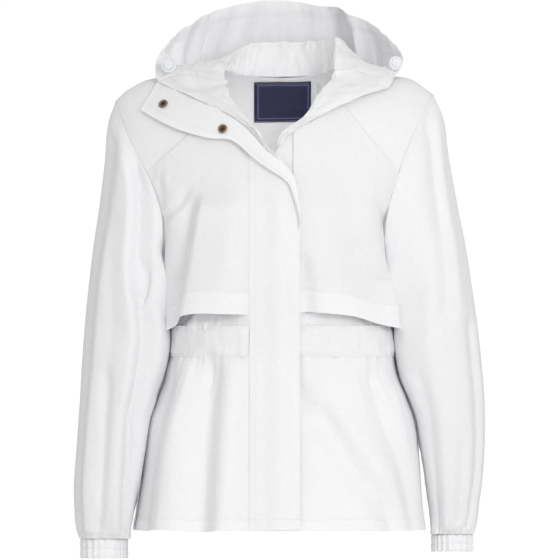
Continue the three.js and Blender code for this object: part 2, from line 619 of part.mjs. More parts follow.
// Waist casings, with the gathers of the cord inside
function casing(name, side, fromTurn, toTurn) {
  const count = Math.round(Math.abs(torsoArc(side, fromTurn, toTurn)) / GATHER_PITCH);
  const surface = (u, v) => {
    const rise = lerp(riseOf(WAIST_BOTTOM_Z), riseOf(WAIST_TOP_Z), v);
    const ripple = GATHER_DEPTH * Math.sin(Math.PI * 2 * count * u + v) * (0.7 + 0.3 * Math.sin(5 * u));
    return lifted({ side, turn: lerp(fromTurn, toTurn, u), rise }, CASING_LIFT + ripple);
  };
  const flip = side < 0 || fromTurn > toTurn;
  return wall(name, shell, surface, count * 3, 1, { flip, thickness: CASING_WALL });
}

function torsoArc(side, fromTurn, toTurn) {
  const rise = riseOf((WAIST_TOP_Z + WAIST_BOTTOM_Z) / 2);
  let length = 0;
  for (let k = 0; k < 40; k += 1) {
    const a = torsoPoint({ side, turn: lerp(fromTurn, toTurn, k / 40), rise });
    const b = torsoPoint({ side, turn: lerp(fromTurn, toTurn, (k + 1) / 40), rise });
    length += a.distanceTo(b);
  }
  return length;
}

// Placket: sewn at its left side, free at its right, lifted where its top rolls over
function placket() {
  const surface = (u, v) => {
    const x = lerp(PLACKET_LEFT_X, PLACKET_RIGHT_X, u);
    const top = lookUp(PLACKET_TOP, "x", "z", x);
    const z = lerp(HEM_Z, top, v);
    const roll = ROLL_LIFT * Math.exp(-(top - z) / 7);
    return lifted(addressOf(1, x, z), lerp(PLACKET_LIFT.sewn, PLACKET_LIFT.free, u) + roll);
  };
  return wall("placket", shell, surface, 5, 24);
}

// Turned out top of the placket
function facing() {
  const row = (k) => {
    const at = (column) => lookUp(FACING.map((r, i) => ({ ...r, row: i })), "row", column, k);
    return {
      free: overFront(at("freeX"), at("freeZ"), at("freeLift")),
      sewn: overFront(at("sewnX"), at("sewnZ"), at("sewnLift")),
      middle: overFront(
        (at("freeX") + at("sewnX")) / 2,
        (at("freeZ") + at("sewnZ")) / 2,
        (at("freeLift") + at("sewnLift")) / 2 + 1.5,
      ),
    };
  };
  const surface = (u, v) => {
    const { free, middle, sewn } = row(u * (FACING.length - 1));
    return new THREE.QuadraticBezierCurve3(free, middle, sewn).getPoint(v);
  };
  return { surface, mesh: wall("placket_facing", shell, surface, 18, 3, { flip: true }) };
}

// Collar and hood, one loft whose rows run round the neck
function collarRow(row) {
  const between = (share) => overFront(
    lerp(row.rollX, row.edgeX, share),
    lerp(row.rollZ, row.edgeZ, share),
    lerp(row.rollLift, row.edgeLift, share),
  );
  return {
    neck: overFront(row.neckX, row.neckZ, 3.5),
    roll: between(0),
    inner: between(0.25),
    floor: between(0.5),
    outer: between(0.75),
    rim: between(1),
  };
}

function hoodRow(row) {
  return Object.fromEntries(Object.entries(row).map(([key, p]) => [key, new THREE.Vector3(...p)]));
}

const neckRows = [...COLLAR_RIGHT.map(collarRow), ...HOOD.map(hoodRow), ...COLLAR_LEFT.map(collarRow)];
const columnPaths = Object.fromEntries(
  ["neck", "roll", "inner", "floor", "outer", "rim"].map((column) => [
    column,
    new THREE.CatmullRomCurve3(neckRows.map((row) => row[column]), false, "centripetal"),
  ]),
);

// One section at a place along the rows: from the neck seam over the roll to the outer edge.
function neckSection(place) {
  const t = place / (neckRows.length - 1);
  const knots = Object.values(columnPaths).map((path) => path.getPoint(t));
  return new THREE.CatmullRomCurve3(knots, false, "centripetal");
}

function neckPiece(name, fromRow, toRow, cellsAcross, cellsUp) {
  const surface = (u, v) => neckSection(lerp(fromRow, toRow, u)).getPoint(v);
  return wall(name, shell, surface, cellsAcross, cellsUp);
}

// Sleeves
function armholeLoop(sign, count) {
  const table = sign < 0 ? ARMHOLE_RIGHT : ARMHOLE_LEFT;
  const tip = table[table.length - 1].z;
  const half = (side) => {
    const points = [];
    for (let k = 0; k <= 40; k += 1) {
      const z = lerp(tip, UNDERARM_Z, (1 - Math.cos((Math.PI * k) / 40)) / 2);
      const x = sign * lookUp(table, "z", side > 0 ? "front" : "back", z);
      points.push(torsoPoint(addressOf(side, x, Math.min(z, shoulderHeight(x)))));
    }
    points[0] = new THREE.Vector3(sign * table[table.length - 1].front, 0, tip);
    points[40] = new THREE.Vector3(sign * table[0].front, 0, UNDERARM_Z);
    return new THREE.CatmullRomCurve3(points).getSpacedPoints(count / 2);
  };
  return [...half(1), ...half(-1).reverse().slice(1, -1)];
}

function tiltedRing(sign, row, index, count) {
  const innerX = halfWidth(row.innerZ, sign) + SLEEVE_CLEAR + row.room;
  const turn = (2 * Math.PI * index) / count;
  const along = (1 + Math.cos(turn)) / 2;
  return new THREE.Vector3(
    sign * lerp(innerX, row.outerX, along),
    row.midY - row.depth * Math.sin(turn),
    lerp(row.innerZ, row.outerZ, along),
  );
}

// Moves a point of a sleeve outwards until it is clear of the torso's panels, flaps and casings.
function clearOfBody(point, sign) {
  const side = point.y < 0 ? 1 : -1;
  if (point.z > -150 || point.z < HEM_Z) return point;
  const power = lookUp(TORSO, "z", "power", point.z);
  const depth = lookUp(TORSO, "z", side > 0 ? "front" : "back", point.z);
  const share = Math.min(Math.abs(point.y) / depth, 1);
  const surfaceX = halfWidth(point.z, sign) * (1 - share ** power) ** (1 / power);
  const armhole = sign < 0 ? ARMHOLE_RIGHT : ARMHOLE_LEFT;
  const panelX = point.z < UNDERARM_Z ? surfaceX : lookUp(armhole, "z", side > 0 ? "front" : "back", point.z);
  if (surfaceX > panelX + 2) return point;
  const casing = 5.5 * bump(point.z - (WAIST_TOP_Z + WAIST_BOTTOM_Z) / 2, 34);
  const flap = point.z > -372 && side > 0 ? 5 * smoothStep((-point.y - 8) / 24) : 0;
  const least = surfaceX + SLEEVE_CLEAR + Math.max(casing, flap);
  if (Math.abs(point.x) < least) point.x = sign * least;
  return point;
}

function sleeve(name, sign, table, cellsRound, cellsAlong) {
  const loop = armholeLoop(sign, cellsRound);
  const rows = table.map((row, i) => ({ ...row, row: i }));
  const columns = Object.keys(table[0]);
  const surface = (u, v) => {
    const index = Math.round(u * cellsRound) % cellsRound;
    const place = v * (rows.length - 1);
    const row = Object.fromEntries(columns.map((column) => [column, lookUp(rows, "row", column, place)]));
    const point = tiltedRing(sign, row, index, cellsRound);
    const shape = loop[index].clone().sub(tiltedRing(sign, table[0], index, cellsRound));
    point.addScaledVector(shape, row.armhole);
    const turn = (360 * index) / cellsRound;
    const middleX = sign * (row.outerX + halfWidth(row.innerZ, sign)) / 2;
    const middle = new THREE.Vector3(middleX, row.midY, point.z);
    const outward = point.clone().sub(middle).normalize();
    const crease = SLEEVE_CREASES.reduce((sum, c) => {
      const ends = smoothStep((v - c.from) * 7) * smoothStep((c.to - v) * 7);
      return sum + c.depth * ends * bump(turn - c.turn, c.width);
    }, 0);
    point.addScaledVector(outward, crease);
    point.x += sign * SEAM * (1 - smoothStep(v * 12));
    return clearOfBody(point, sign);
  };
  return wall(name, shell, surface, cellsRound, cellsAlong, { closed: true, flip: sign < 0 });
}

function cuff(name, size, sign) {
  const cells = CUFF_GATHERS * 3;
  const surface = (u, v) => {
    const turn = 2 * Math.PI * u;
    const ripple = CUFF_GATHER_DEPTH * Math.sin(CUFF_GATHERS * turn) * (0.7 + 0.3 * Math.sin(3 * turn));
    return new THREE.Vector3(
      size.x + sign * (size.halfWidth + ripple) * Math.cos(turn),
      size.y - (size.halfDepth + ripple) * Math.sin(turn),
      lerp(size.top - SEAM, size.bottom, v),
    );
  };
  return wall(name, shell, surface, cells, 1, { closed: true, thickness: 2, flip: sign < 0 });
}

// Snap sockets on the turned out placket
function snap(name, surface, u, v) {
  const centre = surface(u, v);
  const across = surface(u + 0.02, v).sub(surface(u - 0.02, v));
  const up = surface(u, v + 0.1).sub(surface(u, v - 0.1));
  const normal = across.cross(up).normalize();
  if (normal.y > 0) normal.negate();
  const r = SNAP_RADIUS;
  const profile = [
    [0, 0], [r, 0], [r, SNAP_DEPTH * 0.6], [r * 0.86, SNAP_DEPTH], [r * 0.52, SNAP_DEPTH],
    [r * 0.4, SNAP_DEPTH * 0.45], [r * 0.22, SNAP_DEPTH * 0.45],
    [r * 0.16, SNAP_DEPTH * 0.8], [0, SNAP_DEPTH * 0.8],
  ].map(([x, y]) => new THREE.Vector2(x, y));
  const mesh = new THREE.Mesh(new THREE.LatheGeometry(profile, 20), metal);
  mesh.name = name;
  mesh.quaternion.setFromUnitVectors(new THREE.Vector3(0, 1, 0), normal);
  mesh.position.copy(centre).addScaledVector(normal, 0.6);
  return mesh;
}

// Neck label, against the inside of the back
function label() {
  const surface = (u, v) => {
    const x = 5 + LABEL_WIDTH * (u - 0.5);
    const z = 1 - LABEL_DEPTH * (1 - v) + 1.4 * (u - 0.5);
    const address = addressOf(-1, x, z);
    return lifted(address, -(WALL + 1));
  };
  return wall("label", navy, surface, 6, 4, { flip: true, thickness: 1 });
}

// Cord locks at the two ends of the hood's edge
function cordLock(name, centre, facingWay) {
  const r = CORD_LOCK_RADIUS;
  const d = CORD_LOCK_DEPTH / 2;
  const profile = [
    [0, -d], [r * 0.7, -d], [r, -d * 0.5], [r, d * 0.4], [r * 0.74, d], [r * 0.4, d * 0.8], [0, d * 0.8],
  ].map(([x, y]) => new THREE.Vector2(x, y));
  const mesh = new THREE.Mesh(new THREE.LatheGeometry(profile, 18), trim);
  mesh.name = name;
  mesh.quaternion.setFromUnitVectors(new THREE.Vector3(0, 1, 0), facingWay.clone().normalize());
  mesh.position.copy(centre);
  return mesh;
}

const turned = facing();
const firstHood = COLLAR_RIGHT.length;
const lastHood = firstHood + HOOD.length - 1;
const hoodSeam = 0.008; // half a seam gap, as a share of a row
const collarSeam = { right: 0.07, left: 0.2 }; // gaps between the collar and the hood, as shares of a row
const waistRise = riseOf((WAIST_TOP_Z + WAIST_BOTTOM_Z) / 2);
const casingTurn = 87; // where the waist casings meet at the sides
const seamRows = HOOD_SEAM_ROWS.map((row) => firstHood + row);

jacket.add(
  backPanel(),
  front("front_right", -1),
  front("front_left", 1),
  yoke("yoke_right", -1),
  yoke("yoke_left", 1),
  stormFlap("storm_flap_right", -1),
  stormFlap("storm_flap_left", 1),
  placket(),
  turned.mesh,
  neckPiece("collar_right", 0, firstHood - collarSeam.right, 11, 9),
  neckPiece("hood_right", firstHood, seamRows[0] - hoodSeam, 9, 14),
  neckPiece("hood_middle", seamRows[0] + hoodSeam, seamRows[1] - hoodSeam, 9, 14),
  neckPiece("hood_left", seamRows[1] + hoodSeam, lastHood, 8, 14),
  neckPiece("collar_left", lastHood + collarSeam.left, neckRows.length - 1, 8, 9),
  casing("waist_casing_right", 1, -casingTurn, turnAtX(1, PLACKET_LEFT_X - 1)(waistRise)),
  casing("waist_casing_left", 1, casingTurn, turnAtX(1, CASING_LEFT_X)(waistRise)),
  casing("waist_casing_back", -1, -casingTurn, casingTurn),
  sleeve("sleeve_right", -1, SLEEVE_RIGHT, 22, 17),
  sleeve("sleeve_left", 1, SLEEVE_LEFT, 22, 17),
  cuff("cuff_right", CUFF_RIGHT, -1),
  cuff("cuff_left", CUFF_LEFT, 1),
  snap("snap_upper", turned.surface, 0.93, 0.5),
  snap("snap_lower", turned.surface, 0.67, 0.45),
  label(),
  cordLock("cord_lock_right", new THREE.Vector3(-154, -30, 22.9), new THREE.Vector3(-0.1, -1, 0.3)),
  cordLock("cord_lock_left", new THREE.Vector3(163, -18, 26), new THREE.Vector3(0.3, -1, 0.2)),
);

export default jacket;
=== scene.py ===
# A women's light hooded rain jacket in white woven nylon, filled out as if worn, with nobody inside.
# Tables are in millimetres, in the frame of the solids. Meshes are made in metres.
# The wearer faces -Y, so the wearer's right is at -X. Every piece rides on the one body.
import math

import bpy
import numpy as np
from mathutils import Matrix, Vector


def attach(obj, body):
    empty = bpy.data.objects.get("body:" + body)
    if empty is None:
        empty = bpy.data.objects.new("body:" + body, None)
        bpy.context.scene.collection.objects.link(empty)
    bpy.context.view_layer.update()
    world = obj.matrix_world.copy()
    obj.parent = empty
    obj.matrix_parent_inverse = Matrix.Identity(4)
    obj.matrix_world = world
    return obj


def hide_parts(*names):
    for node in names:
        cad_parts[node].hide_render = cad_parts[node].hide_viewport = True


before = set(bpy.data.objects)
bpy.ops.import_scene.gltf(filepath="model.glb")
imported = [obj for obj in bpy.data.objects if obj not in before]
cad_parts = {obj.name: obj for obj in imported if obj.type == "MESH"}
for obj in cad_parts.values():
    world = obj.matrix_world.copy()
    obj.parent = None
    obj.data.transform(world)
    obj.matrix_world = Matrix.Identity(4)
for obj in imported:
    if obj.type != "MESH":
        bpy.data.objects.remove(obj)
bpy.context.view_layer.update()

# Driving sizes, the same as the solids'
HEM_Z = -627.0
CHEST_Z = -120.0
UNDERARM_Z = -275.0
WAIST_TOP_Z = -341.0
WAIST_BOTTOM_Z = -384.0
WAIST_RISE = ((WAIST_TOP_Z + WAIST_BOTTOM_Z) / 2 - HEM_Z) / (CHEST_Z - HEM_Z)
CENTRE_FRONT_X = -8.0
PLACKET_LEFT_X = -41.0
PLACKET_RIGHT_X = 29.0
SLEEVE_CLEAR = 0.8
UNDERARM_EASE = 2.4
FLAP_SIDE_ANGLE = 87.0
FLAP_LEFT_X = 20.0
FLAP_LIFT = 2.4
FLAP_HEM_LIFT = 9.0
FLAP_FULLNESS = 8.0  # how far a storm flap stands out beside the sleeve
CASING_LEFT_X = 22.0
NECK_HALF = 84.0
NECK_BACK_Z = 6.0
YOKE_NECK_X = {-1: 80.0, 1: 82.0}
LABEL_WIDTH = 80.0
LABEL_DEPTH = 56.0
SNAP_RADIUS = 6.6

# Cloth
CLOTH = 0.7  # shell thickness
DOUBLE = 1.3  # thickness where the cloth is folded over at an edge
SEAM = 0.06  # gap between panels
CELL = 3.8  # size of a mesh cell
CHEST_ARC = 190.0  # cloth from the chest line to the shoulder line
CREASE_DEPTH = 1.35  # scale of the depths in the tables of creases
VENT_DEPTH = 19.0  # how far the front lies back above the waist, under the storm flaps
CREST = 1.8  # rounding of a crease
STITCH_PITCH = 3.4
STITCH_LENGTH = 2.3


def table(columns, *rows):
    """Named columns, with the rows sorted by the first one."""
    values = np.array(sorted(rows), dtype=float)
    named = {name: values[:, i] for i, name in enumerate(columns.split())}
    return {"key": values[:, 0], **named}


# Torso sections: half widths to the wearer's right and left, depths, and the power of the rounded section,
# a little fuller at the sides than the solids'
TORSO = table(
    "z right left front back power",
    (-627, 203, 202, 150, 142, 2.45),
    (-571, 196, 197, 143, 136, 2.5),
    (-515, 189, 195, 134, 127, 2.6),
    (-473, 182, 190, 126, 118, 2.65),
    (-445, 172, 180, 121, 112, 2.7),
    (-410, 160, 166, 117, 104, 2.7),
    (-370, 150, 160, 116, 99, 2.7),
    (-330, 154, 158, 121, 102, 2.6),
    (-300, 158, 153, 127, 107, 2.5),
    (-275, 160, 150, 131, 111, 2.4),
    (-240, 172, 164, 133, 114, 2.15),
    (-195, 195, 184, 133, 114, 2.0),
    (-165, 212, 203, 128, 111, 1.95),
    (-120, 240, 232, 118, 105, 1.9),
)
# Shoulder line: height at each distance from the middle
SHOULDER = table(
    "x right left",
    (0, 21, 21),
    (84, 17, 17),
    (120, 12, 13),
    (150, 8, 9),
    (185, 2, 3),
    (205, -8, -10),
    (216, -15, -18),
    (229, -28, -32),
)
# Armhole seams: distance from the middle at each height, on the front and on the back
ARMHOLE = {
    -1: table(
        "z front back",
        (-275, 160, 160),
        (-240, 162, 166),
        (-207, 161, 171),
        (-180, 165, 177),
        (-150, 175, 186),
        (-122, 188, 197),
        (-74, 212, 215),
        (-28, 229, 229),
    ),
    1: table(
        "z front back",
        (-275, 150, 150),
        (-240, 148, 156),
        (-207, 148, 162),
        (-175, 153, 170),
        (-150, 160, 178),
        (-125, 168, 187),
        (-80, 186, 202),
        (-18, 216, 216),
    ),
}
# Upper edge of each front below its yoke: the slanting yoke seam, then the neckline down to the V
FRONT_TOP = {
    -1: table(
        "x z",
        (9, -111),
        (22, -97),
        (36, -83),
        (47, -69),
        (62, -53),
        (80, -31),
        (130, -78),
        (190, -133),
    ),
    1: table(
        "x z",
        (-7, -109),
        (-2, -92),
        (4, -79),
        (14, -68),
        (30, -61),
        (46, -55),
        (64, -42),
        (82, -29),
        (120, -72),
        (176, -140),
    ),
}
# Lower edge of each storm flap
FLAP_EDGE = {
    -1: table("x z", (41, -326), (70, -323), (104, -321), (124, -326), (135, -338), (152, -352)),
    1: table("x z", (20, -324), (49, -321), (99, -327), (130, -338), (158, -348)),
}
# Upper edge of the placket, along the roll where its top turns out
PLACKET_TOP = table(
    "x z", (-41, -101), (-20, -106), (-6, -114), (4, -121), (14, -132), (22, -149), (27, -172), (29, -200)
)
# Turned out top of the placket: free edge and sewn edge, each with its lift off the front
FACING = table(
    "row free_x free_z free_lift sewn_x sewn_z sewn_lift",
    (0, 29, -205, 12, 30.5, -199, 12),
    (1, 27, -186, 12, 29, -174, 13),
    (2, 17, -151, 12.5, 23, -145, 14),
    (3, 8, -138, 12.5, 15, -129, 15),
    (4, -10, -126, 12, 1, -114, 16),
    (5, -38, -105, 11, -19, -97, 16),
    (6, -66, -83, 11, -46, -67, 16),
    (7, -98, -80, 11, -76, -46, 14),
    (8, -137, -69, 10, -108, -32, 12),
    (9, -165, -57, 9, -140, -18, 11),
    (10, -194, -40, 8, -171, -3, 10),
)
# Collar sections from the V up: neck seam, roll with its lift, and outer edge with its lift
COLLAR_RIGHT = (
    (-10, -109, -6, -106, 12, 0, -110, 15),
    (-24, -93, -13, -97, 15, -19, -94, 16),
    (-35, -80, -21, -86, 17, -33, -77, 17),
    (-47, -66, -30, -70, 18, -46, -64, 16),
    (-61, -50, -49, -50, 18, -66, -50, 15),
    (-73, -36, -60, -34, 18, -88, -38, 14),
    (-79, -24, -68, -19, 17, -115, -27, 13),
    (-81, -12, -73, -7, 16, -145, -13, 12),
)
COLLAR_LEFT = (
    (82, -10, 74, 2, 16, 152, -10, 10),
    (80, -22, 66, -7, 17, 132, -16, 11),
    (72, -32, 57, -17, 17, 108, -26, 11),
    (63, -39, 49, -30, 16, 86, -35, 10),
    (54, -47, 42, -41, 14, 65, -45, 9),
    (44, -53, 35, -51, 11, 49, -52, 7),
    (31, -62, 25, -57, 9, 37, -60, 6),
    (16, -69, 10, -66.5, 8, 20, -70, 5.5),
    (5, -79, 1, -77, 7, 7, -81, 5),
    (-2, -92, -4, -90, 5, -1, -93, 4.5),
)
# Hood sections round the neck from the wearer's right to the left: neck, roll, inner, floor, outer, rim
HOOD = (
    ((-79, -54, -1), (-75, -66, 3), (-100, -58, 4), (-125, -48, 8), (-150, -38, 8), (-170, -34, 3)),
    ((-80, -30, 12), (-75, -44, 18), (-102, -32, 22), (-130, -20, 20), (-156, -12, 19), (-173, -10, 18)),
    ((-80, 4, 18), (-70, -12, 32), (-98, 6, 29), (-128, 18, 21), (-156, 26, 26), (-167, 25, 42)),
    ((-70, 26, 14), (-60, 18, 43), (-88, 42, 26), (-118, 62, 6), (-146, 72, 30), (-141, 65, 70)),
    ((-50, 38, 10), (-43, 45, 53), (-62, 74, 24), (-84, 106, -30), (-108, 125, 14), (-94, 110, 99)),
    ((-20, 44, 8), (-18, 57, 57), (-24, 86, 14), (-34, 126, -80), (-46, 160, -4), (-41, 138, 113)),
    ((10, 45, 8), (10, 59, 57), (10, 88, 12), (12, 130, -88), (16, 168, -6), (15, 145, 115)),
    ((42, 41, 9), (43, 50, 57), (54, 82, 16), (66, 118, -66), (82, 150, 4), (71, 125, 104)),
    ((68, 28, 13), (68, 24, 59), (90, 54, 26), (110, 86, -20), (132, 110, 14), (125, 90, 85)),
    ((80, 4, 18), (79, -8, 62), (106, 14, 38), (132, 40, 14), (158, 58, 26), (160, 45, 56)),
    ((82, -24, 13), (80, -32, 44), (108, -16, 32), (135, 0, 24), (162, 12, 24), (174, 8, 31)),
    ((82, -48, 2), (77, -58, 16), (104, -46, 16), (132, -36, 12), (152, -32, 10), (162, -28, 7)),
)
HOOD_SEAM_ROWS = (4, 8)
# Sleeve sections from the armhole to the cuff
SLEEVE = {
    -1: table(
        "row outer_x outer_z inner_z mid_y depth room armhole",
        (0, 229, -28, -276, 0, 72, 0, 1),
        (1, 240, -62, -286, -2, 75, 0, 0.72),
        (2, 244, -112, -298, -4, 76, 0, 0.42),
        (3, 251, -172, -314, -6, 74, 0, 0.18),
        (4, 260, -232, -334, -8, 72, 0, 0.05),
        (5, 267, -290, -356, -9, 70, 0, 0),
        (6, 272, -342, -382, -10, 68, 0, 0),
        (7, 276, -396, -414, -11, 66, 0, 0),
        (8, 279, -450, -456, -12, 64, 0, 0),
        (9, 283, -506, -507, -13, 62, 0, 0),
        (10, 287, -562, -562, -14, 60, 0, 0),
        (11, 286, -600, -600, -15, 54, 2, 0),
        (12, 284, -624, -624, -15, 44, 4, 0),
        (13, 279, -639, -639, -15, 34, 6, 0),
    ),
    1: table(
        "row outer_x outer_z inner_z mid_y depth room armhole",
        (0, 216, -18, -276, 0, 72, 0, 1),
        (1, 231, -54, -286, 0, 75, 0, 0.72),
        (2, 238, -106, -298, 1, 76, 0, 0.42),
        (3, 249, -168, -314, 2, 74, 0, 0.18),
        (4, 261, -228, -332, -3, 72, 0, 0.05),
        (5, 270, -286, -354, -6, 70, 0, 0),
        (6, 278, -342, -382, -8, 68, 0, 0),
        (7, 284, -396, -414, -8, 66, 0, 0),
        (8, 288, -450, -456, -4, 64, 0, 0),
        (9, 288, -505, -507, 3, 62, 1, 0),
        (10, 285, -556, -556, 9, 58, 7, 0),
        (11, 280, -594, -594, 13, 50, 10, 0),
        (12, 277, -618, -618, 13, 40, 10, 0),
        (13, 273, -633, -633, 13, 31, 10, 0),
    ),
}
CUFF = {
    -1: {"x": -245, "y": -15, "top": -639, "bottom": -666, "half_width": 32.6, "half_depth": 32.4},
    1: {"x": 242.4, "y": 13, "top": -633, "bottom": -657, "half_width": 28.6, "half_depth": 29.4},
}
CUFF_GATHERS = 22

# Creases of the torso, each a line of (x, z) points from the top down, then the width of its slope towards
# the wearer's right and left, and its depth (a trough is negative). A line may run past an edge.
SKIRT_CREASES = (
    (((-97, -372), (-100, -445), (-106, -529), (-113, -660)), 26, 19, -13),
    (((-73, -372), (-78, -445), (-84, -529), (-89, -660)), 8, 22, 4.0),
    (((-122, -372), (-129, -431), (-150, -501), (-167, -660)), 15, 24, 8),
    (((-146, -392), (-166, -473), (-184, -560), (-192, -660)), 9, 10, -5),
    (((26, -405), (40, -466), (58, -515)), 8, 16, -4.5),
    (((55, -440), (78, -490), (111, -543), (148, -592), (172, -660)), 17, 10, -7),
    (((92, -455), (130, -522), (167, -585), (186, -660)), 12, 18, 4),
    (((128, -388), (137, -445), (155, -493), (176, -549), (190, -660)), 13, 8, -6),
    (((152, -405), (172, -487), (188, -557), (196, -660)), 9, 9, 3.5),
)
CHEST_CREASES = (
    (((-101, -150), (-106, -193), (-112, -249), (-124, -360)), 10, 40, 10),
    (((-117, -150), (-126, -207), (-133, -256), (-142, -360)), 22, 9, -6),
    (((-120, -138), (-136, -168), (-152, -190), (-164, -208)), 7, 5, -6),
    (((-132, -150), (-144, -180), (-154, -206)), 5, 8, 2.5),
    (((-168, -106), (-174, -122), (-177, -146)), 4, 4, -3),
    (((-162, -118), (-165, -140), (-158, -172)), 4, 5, -3),
    (((-154, -112), (-158, -134), (-156, -160)), 4, 5, 2),
    (((141, -142), (136, -165), (148, -190), (155, -226)), 13, 7, -4),
    (((100, -205), (112, -256), (141, -350)), 20, 14, -3.5),
    (((133, -215), (148, -290), (156, -350)), 10, 12, 2.5),
    (((34, -232), (37, -290), (39, -350)), 7, 9, -4),
    (((70, -120), (66, -190), (60, -280)), 22, 22, 2),
    (((-60, -140), (-66, -220), (-64, -330)), 18, 20, 1.6),
)
BACK_CREASES = (
    (((-64, -40), (-92, -120), (-118, -210), (-134, -262)), 12, 20, -5),
    (((60, -44), (86, -130), (112, -214), (128, -262)), 20, 12, -4.5),
    (((-150, -180), (-120, -240), (-84, -300), (-60, -345)), 14, 18, -4),
    (((146, -190), (118, -250), (80, -306), (52, -345)), 18, 14, -4),
    (((-6, -60), (4, -160), (-2, -330)), 30, 26, 2.5),
    (((-118, -384), (-126, -470), (-142, -660)), 22, 12, -10),
    (((-78, -384), (-84, -480), (-94, -660)), 14, 22, 6),
    (((-36, -384), (-38, -480), (-46, -660)), 18, 12, -8),
    (((6, -388), (8, -500), (2, -660)), 18, 20, 5),
    (((44, -384), (46, -480), (54, -660)), 12, 20, -9),
    (((86, -384), (94, -480), (106, -660)), 16, 16, 6),
    (((124, -388), (132, -480), (150, -660)), 12, 18, -8),
)
# Creases of the sleeves, each a line of (turn, stretch) points: degrees from the outer side over the front,
# and the stretch from 0 at the armhole to 1 at the cuff. Then the widths in degrees and the depth.
SLEEVE_CREASES = {
    -1: (
        (((62, 0.0), (86, 0.13), (95, 0.27), (110, 0.4), (117, 0.6), (127, 0.74), (146, 1.0)), 6, 18, -10.5),
        (((40, 0.0), (64, 0.13), (76, 0.27), (92, 0.4), (98, 0.6), (106, 0.74), (120, 1.0)), 15, 9, 5),
        (((46, 0.02), (47, 0.4), (48, 0.7), (56, 0.98)), 8, 12, 3.5),
        (((26, 0.05), (28, 0.5), (34, 0.95)), 12, 9, -4),
        (((66, 0.52), (78, 0.64), (84, 0.8), (80, 0.96)), 9, 7, -3.5),
        (((232, 0.0), (238, 0.4), (226, 0.95)), 14, 10, -8),
        (((300, 0.08), (304, 0.5), (292, 0.9)), 10, 15, -6),
        (((268, 0.1), (266, 0.6), (262, 0.95)), 14, 14, 3),
    ),
    1: (
        (((26, 0.0), (48, 0.18), (60, 0.3), (70, 0.44)), 8, 12, -5),
        (((14, 0.0), (34, 0.18), (46, 0.32), (54, 0.46)), 12, 7, 3),
        (((30, 0.42), (34, 0.6), (37, 0.78), (48, 0.98)), 7, 12, -5.5),
        (((118, 0.5), (128, 0.7), (140, 1.0)), 14, 18, -3),
        (((92, 0.3), (104, 0.5), (108, 0.75), (104, 1.0)), 18, 18, 3.5),
        (((70, 0.66), (76, 0.8), (82, 0.95)), 9, 8, -3.5),
        (((236, 0.0), (240, 0.4), (230, 0.95)), 14, 10, -8),
        (((304, 0.08), (306, 0.5), (296, 0.9)), 10, 15, -6),
        (((268, 0.1), (266, 0.6), (262, 0.95)), 14, 14, 3),
    ),
}
# Pleats of the hood: place along its rows, stretch from the neck seam to the rim where each starts and
# ends, how far it leans along the rows, width in rows and depth
HOOD_PLEATS = (
    (10.2, 0.30, 0.98, 0.4, 0.16, -5),
    (10.7, 0.34, 0.99, 0.5, 0.14, -6),
    (11.0, 0.30, 0.95, 0.5, 0.16, 4),
    (11.5, 0.50, 1.02, 0.5, 0.18, -6),
    (12.4, 0.55, 1.02, 0.2, 0.22, -4),
    (13.3, 0.60, 1.02, -0.2, 0.25, -5),
    (14.6, 0.55, 1.02, 0.2, 0.30, -4),
    (15.3, 0.25, 1.04, -0.3, 0.24, -34),
    (15.75, 0.35, 1.02, -0.3, 0.12, 8),
    (16.3, 0.45, 1.02, -0.5, 0.16, -7),
    (16.9, 0.40, 1.00, -0.4, 0.18, -5),
    (17.6, 0.35, 1.00, -0.3, 0.18, -4),
)


def look_up(rows, column, at):
    """Smooth value of one column of a table."""
    keys, values = rows["key"], rows[column]
    last = len(keys) - 1
    place = np.clip(at, keys[0], keys[-1])
    i = np.clip(np.searchsorted(keys, place) - 1, 0, last - 1)
    below = np.maximum(np.arange(last + 1) - 1, 0)
    above = np.minimum(np.arange(last + 1) + 1, last)
    slope = (values[above] - values[below]) / (keys[above] - keys[below])
    span = keys[i + 1] - keys[i]
    t = (place - keys[i]) / span
    rise = t * t * (3 - 2 * t)
    leave = t * (1 - t) ** 2 * span * slope[i]
    arrive = t * t * (t - 1) * span * slope[i + 1]
    return (1 - rise) * values[i] + rise * values[i + 1] + leave + arrive


def lerp(a, b, t):
    return a + (b - a) * t


def smooth_step(value):
    t = np.clip(value, 0, 1)
    return t * t * (3 - 2 * t)


def bump(distance, width):
    return np.exp(-((distance / width) ** 2))


def fold(distance, width):
    """A peak with a crisp, slightly rounded crest and nearly flat slopes."""
    reach = np.sqrt(distance**2 + CREST**2) - CREST
    return np.maximum(1 - reach / (1.5 * width), 0) ** 1.25


def unit(vectors):
    return vectors / np.maximum(np.linalg.norm(vectors, axis=-1, keepdims=True), 1e-12)


def noise(u, v, seed):
    """Soft gradient noise over the cloth, from about -1 to 1 with a cell of 1."""
    angles = np.random.default_rng(seed).uniform(0, 2 * math.pi, 256)
    iu, iv = np.floor(u).astype(int), np.floor(v).astype(int)
    fu, fv = u - iu, v - iv
    su, sv = fu**3 * (fu * (6 * fu - 15) + 10), fv**3 * (fv * (6 * fv - 15) + 10)

    def corner(du, dv):
        angle = angles[((iu + du) * 73 + (iv + dv) * 151) % 256]
        return np.cos(angle) * (fu - du) + np.sin(angle) * (fv - dv)

    return 1.5 * lerp(lerp(corner(0, 0), corner(1, 0), su), lerp(corner(0, 1), corner(1, 1), su), sv)


